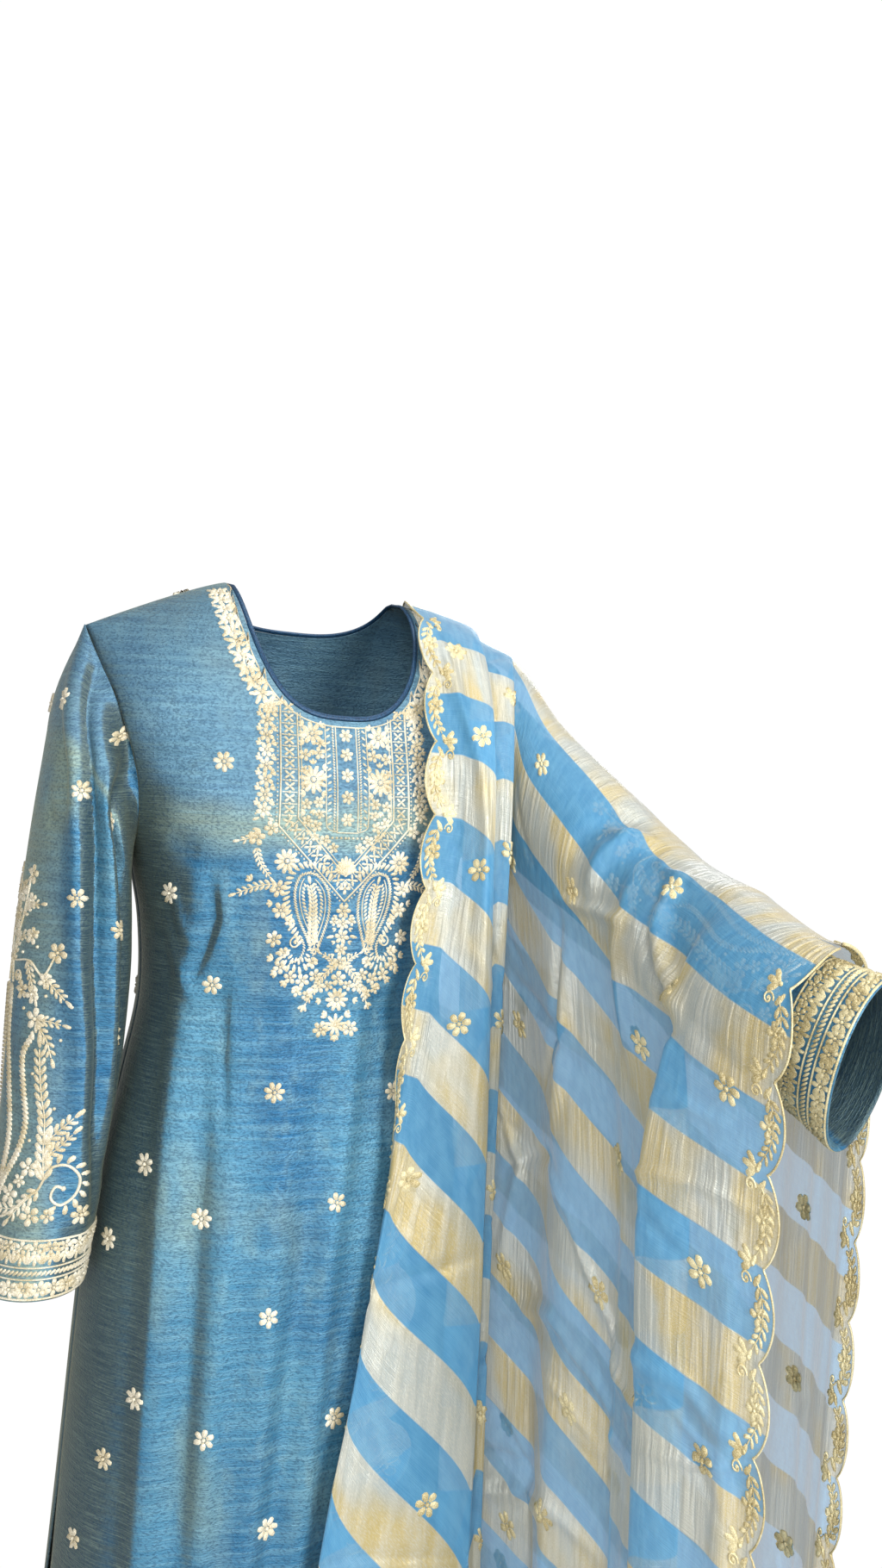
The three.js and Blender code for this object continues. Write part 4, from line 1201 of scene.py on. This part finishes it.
def paisley(work):
    """Outline, inner line, filling, curl and the feathered foot."""
    body = curve([(-32, -249), (-40, -252), (-44, -266), (-40, -286), (-31, -304), (-24, -318),
                  (-17, -300), (-13, -282), (-15, -264), (-24, -252), (-32, -249)], 1.6)
    work.rope(body, 3.4, 2.3)
    work.cord(beside(body, 4.0)[4:-4], 1.0, 0.9)
    work.leaves([(-26, -310), (-27, -290), (-28, -272), (-31, -259)], 7.2, 3.4)
    inside = curve(beside(body, 5.6)[8:-8], 3.2)
    for (u, v), turn in zip(inside, heading(inside)):
        work.petal(u, v, turn + 48, 4.2, 2.2)
    outside = curve(beside(body, -3.6), 3.8)
    for (u, v), turn in zip(outside, heading(outside)):
        if v > -306 and u < -14:
            work.petal(u, v, turn - 62, 7.6, 3.4, 1.4)
    work.curl(-41, -308, 5.4, 60, 1.3, 1, 1.7)
    work.rope([(-36.5, -303), (-33, -312), (-36, -321), (-44, -325)], 2.8, 2.3)
    for k in range(9):
        turn, reach = 188 + 17 * k, 13 + 1.5 * (k % 2)
        work.petal(*away_from(-37, -313, reach, turn), turn + 12, 7.6, 3.6)
        work.petal(*away_from(-37, -313, reach - 6, turn), turn, 5.4, 2.6)
    work.fans([(-58, -322, 160), (-54, -333, 200), (-46, -340, 225), (-36, -344, 250), (-25, -346, 280)],
              6.4, 34)
    work.florets([(-52, -328, 6.4), (-43, -337, 6.0), (-32, -340, 6.4), (-21, -336, 6.0),
                  (-17, -346, 5.6), (-50, -316, 5.0), (-25, -325, 5.4), (-47, -290, 4.6),
                  (-9, -345, 5.0), (-8, -290, 4.2), (-36, -349, 5.2), (-27, -353, 5.0)], 3)


def tip_sprays(work):
    """Sprays on one side of the middle stem and at the yoke's lowest point."""
    work.leaves([(-3, -326), (-12, -334), (-20, -346), (-27, -359)], 6.0, 4.2)
    work.fan(-29, -361, 250, 6.6, 3, 40)
    work.leaves([(-4, -330), (-9, -322), (-16, -318)], 4.8, 3.6)
    work.fan(-14, -357, 200, 5.4, 3, 36)
    work.floret(-13, -382, 7.4, 6, 12)
    work.fan(-8, -372, 140, 6.2, 3, 34)
    work.bead(-11, -367, 1.2, 1.4)


def yoke_middle(work):
    """What stands on the middle line: buttons of flowers, a shell, a stem and the lowest bloom."""
    for i, v in enumerate((-131, -148, -166, -185, -204)):
        work.floret(0, v, 6.2, 6, 15 * i)
    work.fan(0, -251, 90, 17, 9, 15, 0.24)
    work.fan(0, -251, 90, 8, 5, 22, 0.32)
    for k in range(5):
        work.bead(-6 + 3 * k, -257 - 3.4 * (2 - abs(k - 2)), 0.9, 1.2)
    for i, v in enumerate((-281, -292, -303, -314, -325)):
        work.floret(0, v, 6.0 if i % 2 else 6.8, 6, 25 * i)
        work.fan(-5.5, v - 4, 205, 4.2, 2, 44)
        work.fan(5.5, v - 4, -25, 4.2, 2, 44)
    work.floret(0, -339, 7.0, 5, 90)
    work.floret(0, -357, 10.5, 10, 0, 1.7)
    work.beads(round_about(0, -357, 6.4, 12), 3.2, 0.7, 1.9)
    for k in range(9):
        work.petal(0, -379, 90 + 40 * k, 10.5, 3.6)
    work.bead(0, -379, 2.0, 2.0)
    work.fan(0, -387, 270, 6.5, 3, 34)


def neck_strip(work, cloth):
    """A line round the neckline with a row of close-set flowers and paired leaves beside it."""
    on_neck = np.abs(cloth.points[0, :, 0]) < NECK_HALF - 0.2
    edge = curve(cloth.flat[0][on_neck], 1.5)
    turn = 1 if edge[len(edge) // 2, 1] < edge[0, 1] else -1
    work.cord(beside(edge, -turn * 5.4), 1.3, 1.1)
    row = curve(beside(edge, -turn * 14.5), 12)
    for i, ((u, v), way) in enumerate(zip(row, heading(row))):
        if abs(u) > 62:
            work.floret(u, v, 7.4, 6, 20 * i, 1.8)
            for side in (62, 118, 242, 298):
                work.petal(u, v, way + side, 11.4, 4.2, 1.4)
    for u, v in curve(beside(edge, -turn * 8.4), 6):
        if abs(u) > 60:
            work.bead(u, v, 1.0, 1.3)


def front_work():
    work = Needlework(front)
    for work.mirror in (1, -1):
        for part in (placket, v_column, flower_field, flower_column, paisley, tip_sprays):
            part(work)
    work.mirror = 1
    yoke_middle(work)
    neck_strip(work, front)
    return work.made("yoke_needlework", GOLD_THREAD)


def lattice(first, across, down, columns, rows):
    """The half-drop repeat of the small flowers."""
    return [(first[0] + across * c, first[1] - down * r - (down / 2 if c % 2 else 0))
            for c in range(-columns, columns + 1) for r in range(rows)]


FRONT_BUTIS = [
    (-151, 10), (-106, -160), (-152, -272), (-107, -346), (-51, -433), (-158, -496), (5, -527),
    (-108, -535), (-194, -562), (-51, -615), (-156, -680), (11, -708), (-99, -709), (-184, -735),
    (-44, -789), (-214, -808), (106, -160), (148, -285), (104, -346), (60, -440), (158, -500),
    (112, -540), (200, -560), (64, -620), (160, -680), (112, -712), (206, -745), (60, -800), (150, 8),
    (-150, -850), (6, -888), (-100, -890), (114, -890), (160, -850), (-48, -965), (62, -968),
    (-160, -980), (170, -985), (220, -900), (-215, -940),
]


def buti_work(name, cloth, spots):
    work = Needlework(cloth)
    butis(work, spots)
    return work.made(name, GOLD_THREAD)


# ---------------------------------------------------------------- sleeves' needlework
def cuff_band(work, cloth):
    """Rows round the cuff between lines: florets, a chain, and leaves with beads."""
    half = cloth.girth / 2
    across = np.linspace(-half + 0.5, half - 0.5, 90)
    for v, width in ((1.8, 1.8), (17.0, 1.3), (26.0, 1.3), (47, 1.8)):
        work.cord([(u, v) for u in across], width, 1.2)
    work.rope([(u, 21.5) for u in across], 5.0, 3.6, 1.8)
    for i, u in enumerate(np.arange(-half + 6, half - 5, 11.6)):
        work.floret(u, 9.2, 7.2, 6, 15 * i, 1.8)
        work.fan(u + 5.8, 4.0, 90, 6.4, 3, 38)
        work.fan(u + 5.8, 14.6, 270, 6.0, 3, 38)
        work.fan(u, 28.5, 90, 11, 3, 32, 0.42)
        work.floret(u + 5.8, 41.0, 5.8, 5, 20 * i, 1.7)
        work.petal(u + 5.8, 34.5, 270, 7.4, 3.4)
        work.fan(u, 45, 270, 5.0, 3, 40)
        work.bead(u, 39.5, 1.2, 1.6)


def sleeve_sprays(work):
    """The tall ornament on the outside of the lower sleeve: ropes, branches and flowers."""
    left_rope = [(7, 240), (8, 203), (16, 169), (24, 128), (20, 96), (12, 78)]
    right_rope = [(42, 206), (33, 190), (36, 164), (41, 138), (36, 114), (24, 92), (16, 74)]
    for path in (left_rope, right_rope):
        work.rope(path, 6.6, 3.7, 2.6)
    work.curl(17, 250, 6.0, -60, 1.6, 1, 1.7)
    work.cord(curve([(8, 244), (4, 262), (8, 280), (16, 300), (20, 330)]), 1.8, 1.3)
    work.leaves([(4, 262), (14, 280), (32, 286)], 8.0, 6.4, 44)
    work.leaves([(8, 280), (4, 296), (-4, 312)], 8.0, 6.4, 44)
    work.leaves([(16, 300), (26, 308), (38, 310)], 7.4, 6.0, 44)
    work.cord(curve([(10, 262), (33, 264), (48, 254), (58, 270)]), 1.8, 1.3)
    work.leaves([(48, 254), (56, 247), (68, 236)], 8.2, 5.4, 46)
    work.leaves([(30, 264), (36, 250), (41, 236)], 7.4, 5.4, 46)
    work.leaves([(44, 219), (56, 218), (66, 216)], 7.4, 5.6, 44)
    work.leaves([(44, 216), (54, 204), (59, 190)], 8.2, 5.8, 44)
    work.florets([(22, 333, 8.6), (60, 273, 8.8), (43, 219, 9.4), (25, 240, 8.0), (38, 238, 7.6),
                  (4, 300, 7.4), (26, 312, 7.0), (32, 284, 7.6), (50, 250, 6.8), (10, 322, 6.6),
                  (-8, 316, 7.4)], 7)
    work.leaves([(60, 94), (58, 116), (57, 142), (53, 160), (50, 182), (49, 196)], 11.5, 7.0, 42)
    work.leaves([(58, 122), (68, 132), (79, 143)], 9.4, 5.8, 44)
    work.leaves([(58, 112), (68, 118), (79, 130)], 8.4, 5.8, 44)
    work.cord(curve([(60, 94), (56, 86), (48, 80), (38, 70), (26, 62), (14, 60)]), 2.2, 1.5)
    work.leaves([(56, 86), (46, 76), (34, 62)], 8.8, 6.4, 44)
    work.leaves([(38, 70), (26, 68), (12, 66)], 8.4, 6.0, 44)
    scroll = curve([(60, 94), (66, 104), (78, 105), (87, 95), (85, 81), (75, 74), (67, 80), (70, 89),
                    (76, 87)], 1.6)
    work.cord(scroll, 2.4, 1.5)
    work.bead(76, 87, 2.2, 2.2)
    for (u, v), turn in list(zip(beside(scroll, 1.2), heading(scroll)))[2:-14:4]:
        work.petal(u, v, turn + 62, 8.4, 5.0, 1.7)
    work.florets([(47, 103, 8.0), (31, 80, 8.8), (52, 66, 8.4), (14, 60, 7.4), (40, 92, 5.6),
                  (66, 66, 6.0)], 5)
    for u, v in ((22, 270), (40, 276), (52, 238), (30, 226), (66, 204), (44, 176), (64, 150),
                 (46, 124), (66, 104)):
        work.bead(u, v, 1.5, 1.8)


SLEEVE_BUTIS = [(75, 318), (112, 292), (122, 204), (92, 64), (74, 404), (29, 478), (100, 452),
                (132, 380), (-75, 318), (-112, 292), (-122, 204), (-92, 64), (-74, 404), (-29, 478),
                (-100, 452), (-40, 380)]


def sleeve_work(name, cloth, thread_kind):
    work = Needlework(cloth)
    for work.mirror in (1, -1):
        sleeve_sprays(work)
    work.mirror = 1
    cuff_band(work, cloth)
    butis(work, SLEEVE_BUTIS)
    return work.made(name, thread_kind)


# ---------------------------------------------------------------- dupatta's needlework
FRONT_FLORETS = [(47, 92), (375, 60), (458, 121), (600, 44), (804, 143), (511, 302), (789, 279),
                 (53, 565), (68, 432), (71, 298), (80, 835), (183, 749), (798, 406), (482, 432),
                 (437, 657), (310, 559)]


def edge_work(work, lengths, near):
    """Edge cord, vine, leaf pairs and the small flowers where two scallops meet."""
    way, start = (1, 0) if near else (-1, DUPATTA_WIDTH)
    low, high = min(lengths), max(lengths)
    v = np.arange(low, high, 1.5)
    work.cord(np.stack([start + way * (scallop_depth(v) + 0.9), v], -1), 2.3, 1.2)
    first, last = math.ceil((low + SCALLOP_START) / SCALLOP), int((high + SCALLOP_START) / SCALLOP)
    for k in range(first, last):
        cusp, after = k * SCALLOP - SCALLOP_START, (k + 1) * SCALLOP - SCALLOP_START
        stem = curve([(start + way * 20, cusp + 8), (start + way * 12.5, cusp + 22),
                      (start + way * 12.5, cusp + 42), (start + way * 20, after - 7)], 1.8)
        work.leaves(stem, 10.4, 6.6, 46, start=1)
        work.fan(start + way * 24, cusp, 0 if near else 180, 14, 3, 42, 0.46)
        work.petal(start + way * 15, cusp + 4, 60 if near else 120, 13, 5.4)
        work.curl(start + way * 29, cusp + 13, 5.2, 180 if near else 0, 1.3, way, 1.8)
        work.bead(start + way * 23, cusp, 2.1, 2.2)
        work.floret(start + way * 15, cusp + 33, 9.0, 5, 30, 1.7)


def dupatta_work(name, cloth, florets, sides):
    """Both long edges, the hem's cord and the scattered flowers, kept round on gathered cloth."""
    work = Needlework(cloth, sides)
    lengths = cloth.flat[:, 0, 1]
    for near in (True, False):
        edge_work(work, lengths, near)
    hem = lengths[-1] - math.copysign(1.2, lengths[-1])
    work.cord([(u, hem) for u in np.arange(8, DUPATTA_WIDTH - 8, 2.5)], 2.0, 1.1)
    for i, (u, v) in enumerate(florets):
        left, right = cloth.lay(np.array([(u - 6, v, 0), (u + 6, v, 0)], float))
        work.squeeze = (u, max(np.linalg.norm(right - left) / 12, 0.6))
        work.floret(u, v, 11.0, 6, 13 * i)
    work.squeeze = (0, 1)
    return work.made(name, PALE_GOLD)


# ---------------------------------------------------------------- every piece made
front_piece = finish_piece(front.sew("kurta_front_panel", SILK, CLOTH), "tissue_silk",
                           "kurta_front")
front_work()
buti_work("front_flowers", front, FRONT_BUTIS)
back_piece = finish_piece(back.sew("kurta_back_panel", SILK, CLOTH), "tissue_silk", "kurta_back")
buti_work("back_flowers", back, [
             spot for spot in lattice((5, -90), 54, 182, 4, 6)
             if abs(spot[0]) < 165 and spot[1] > -1030])
for name, cloth, thread_kind, cut in (("right", right_sleeve, GOLD_THREAD, (0.42, 0.56)),
                                      ("left", left_sleeve, PALE_GOLD, (0.44, 0.56))):
    piece = finish_piece(cloth.sew(f"sleeve_{name}", SILK, CLOTH), "tissue_silk",
                         f"kurta_sleeve_{name}")
    cut[0] * cut[1] * 0.82
    sleeve_work(f"sleeve_{name}_needlework", cloth, thread_kind)
front_fall = finish_piece(dupatta_front.sew("dupatta_front_half", STRIPES), "chiffon",
                          "dupatta_neck_fall", "dupatta_elbow_fall", "dupatta_wrist_fall")
back_fall = finish_piece(dupatta_back.sew("dupatta_back_half", STRIPES), "chiffon",
                         "dupatta_back_fall", "dupatta_outer_fall")
scattered, behind = (
    [(u, v) for u, v in lattice((70, top), 128, 150, 6, 7) if 30 < u < 830 and v > lowest]
    for top, lowest in ((930, 30), (-60, -1030)))
dupatta_work("dupatta_front_needlework", dupatta_front,
                                   FRONT_FLORETS + clear_of(scattered, FRONT_FLORETS, 85), (1,))
dupatta_work("dupatta_back_needlework", dupatta_back, behind, (1, -1))

# ---------------------------------------------------------------- floor, light and camera
FLOOR_Z = -1.46
bpy.ops.mesh.primitive_circle_add(vertices=128, radius=0.9, fill_type="NGON",
                                  location=(0, 0, FLOOR_Z))
floor = bpy.context.object
floor.name = "studio_floor"
paper = Stuff("pale_floor")
floor.data.materials.append(paper.set(Base_Color=(0.88, 0.89, 0.9, 1), Roughness=0.9))

world = bpy.data.worlds.new("studio")
world.use_nodes = True
sky = world.node_tree.nodes["Background"]
sky.inputs["Color"].default_value = (1, 1, 1, 1)
seen = world.node_tree.nodes.new("ShaderNodeLightPath")
level = world.node_tree.nodes.new("ShaderNodeMapRange")
level.inputs["To Min"].default_value, level.inputs["To Max"].default_value = 0.42, 1.02
world.node_tree.links.new(seen.outputs["Is Camera Ray"], level.inputs["Value"])
world.node_tree.links.new(level.outputs["Result"], sky.inputs["Strength"])
bpy.context.scene.world = world


def lamp(name, place, aim, size, power):
    light = bpy.data.lights.new(name, "AREA")
    light.shape, light.size, light.energy = "DISK", size, power
    thing = bpy.data.objects.new(name, light)
    thing.location = place
    thing.rotation_euler = (Vector(aim) - Vector(place)).to_track_quat("-Z", "Y").to_euler()
    bpy.context.scene.collection.objects.link(thing)


lamp("key", (0.75, -2.6, 0.1), (0, 0, -0.65), 1.3, 60)
lamp("fill", (-1.3, -2.2, 0.1), (0, 0, -0.5), 1.4, 32)
lamp("top", (0.5, -0.6, 2.0), (0.1, -0.1, -0.3), 1.4, 26)
lamp("rim", (1.6, 2.0, 0.6), (0.1, 0, -0.5), 1.2, 30)

camera = bpy.data.cameras.new("camera")
camera.sensor_fit, camera.sensor_width, camera.lens = "AUTO", 36, 27.69
eye = bpy.data.objects.new("camera", camera)
eye.location = (-0.4112, -1.0499, -0.1694)
look = Vector((0.469, 0.883, 0)).to_track_quat("-Z", "Y").to_matrix()
eye.rotation_euler = (look @ Matrix.Rotation(math.radians(3), 3, "Z")).to_euler()
bpy.context.scene.collection.objects.link(eye)
bpy.context.scene.camera = eye
bpy.context.scene.view_settings.view_transform = "Standard"
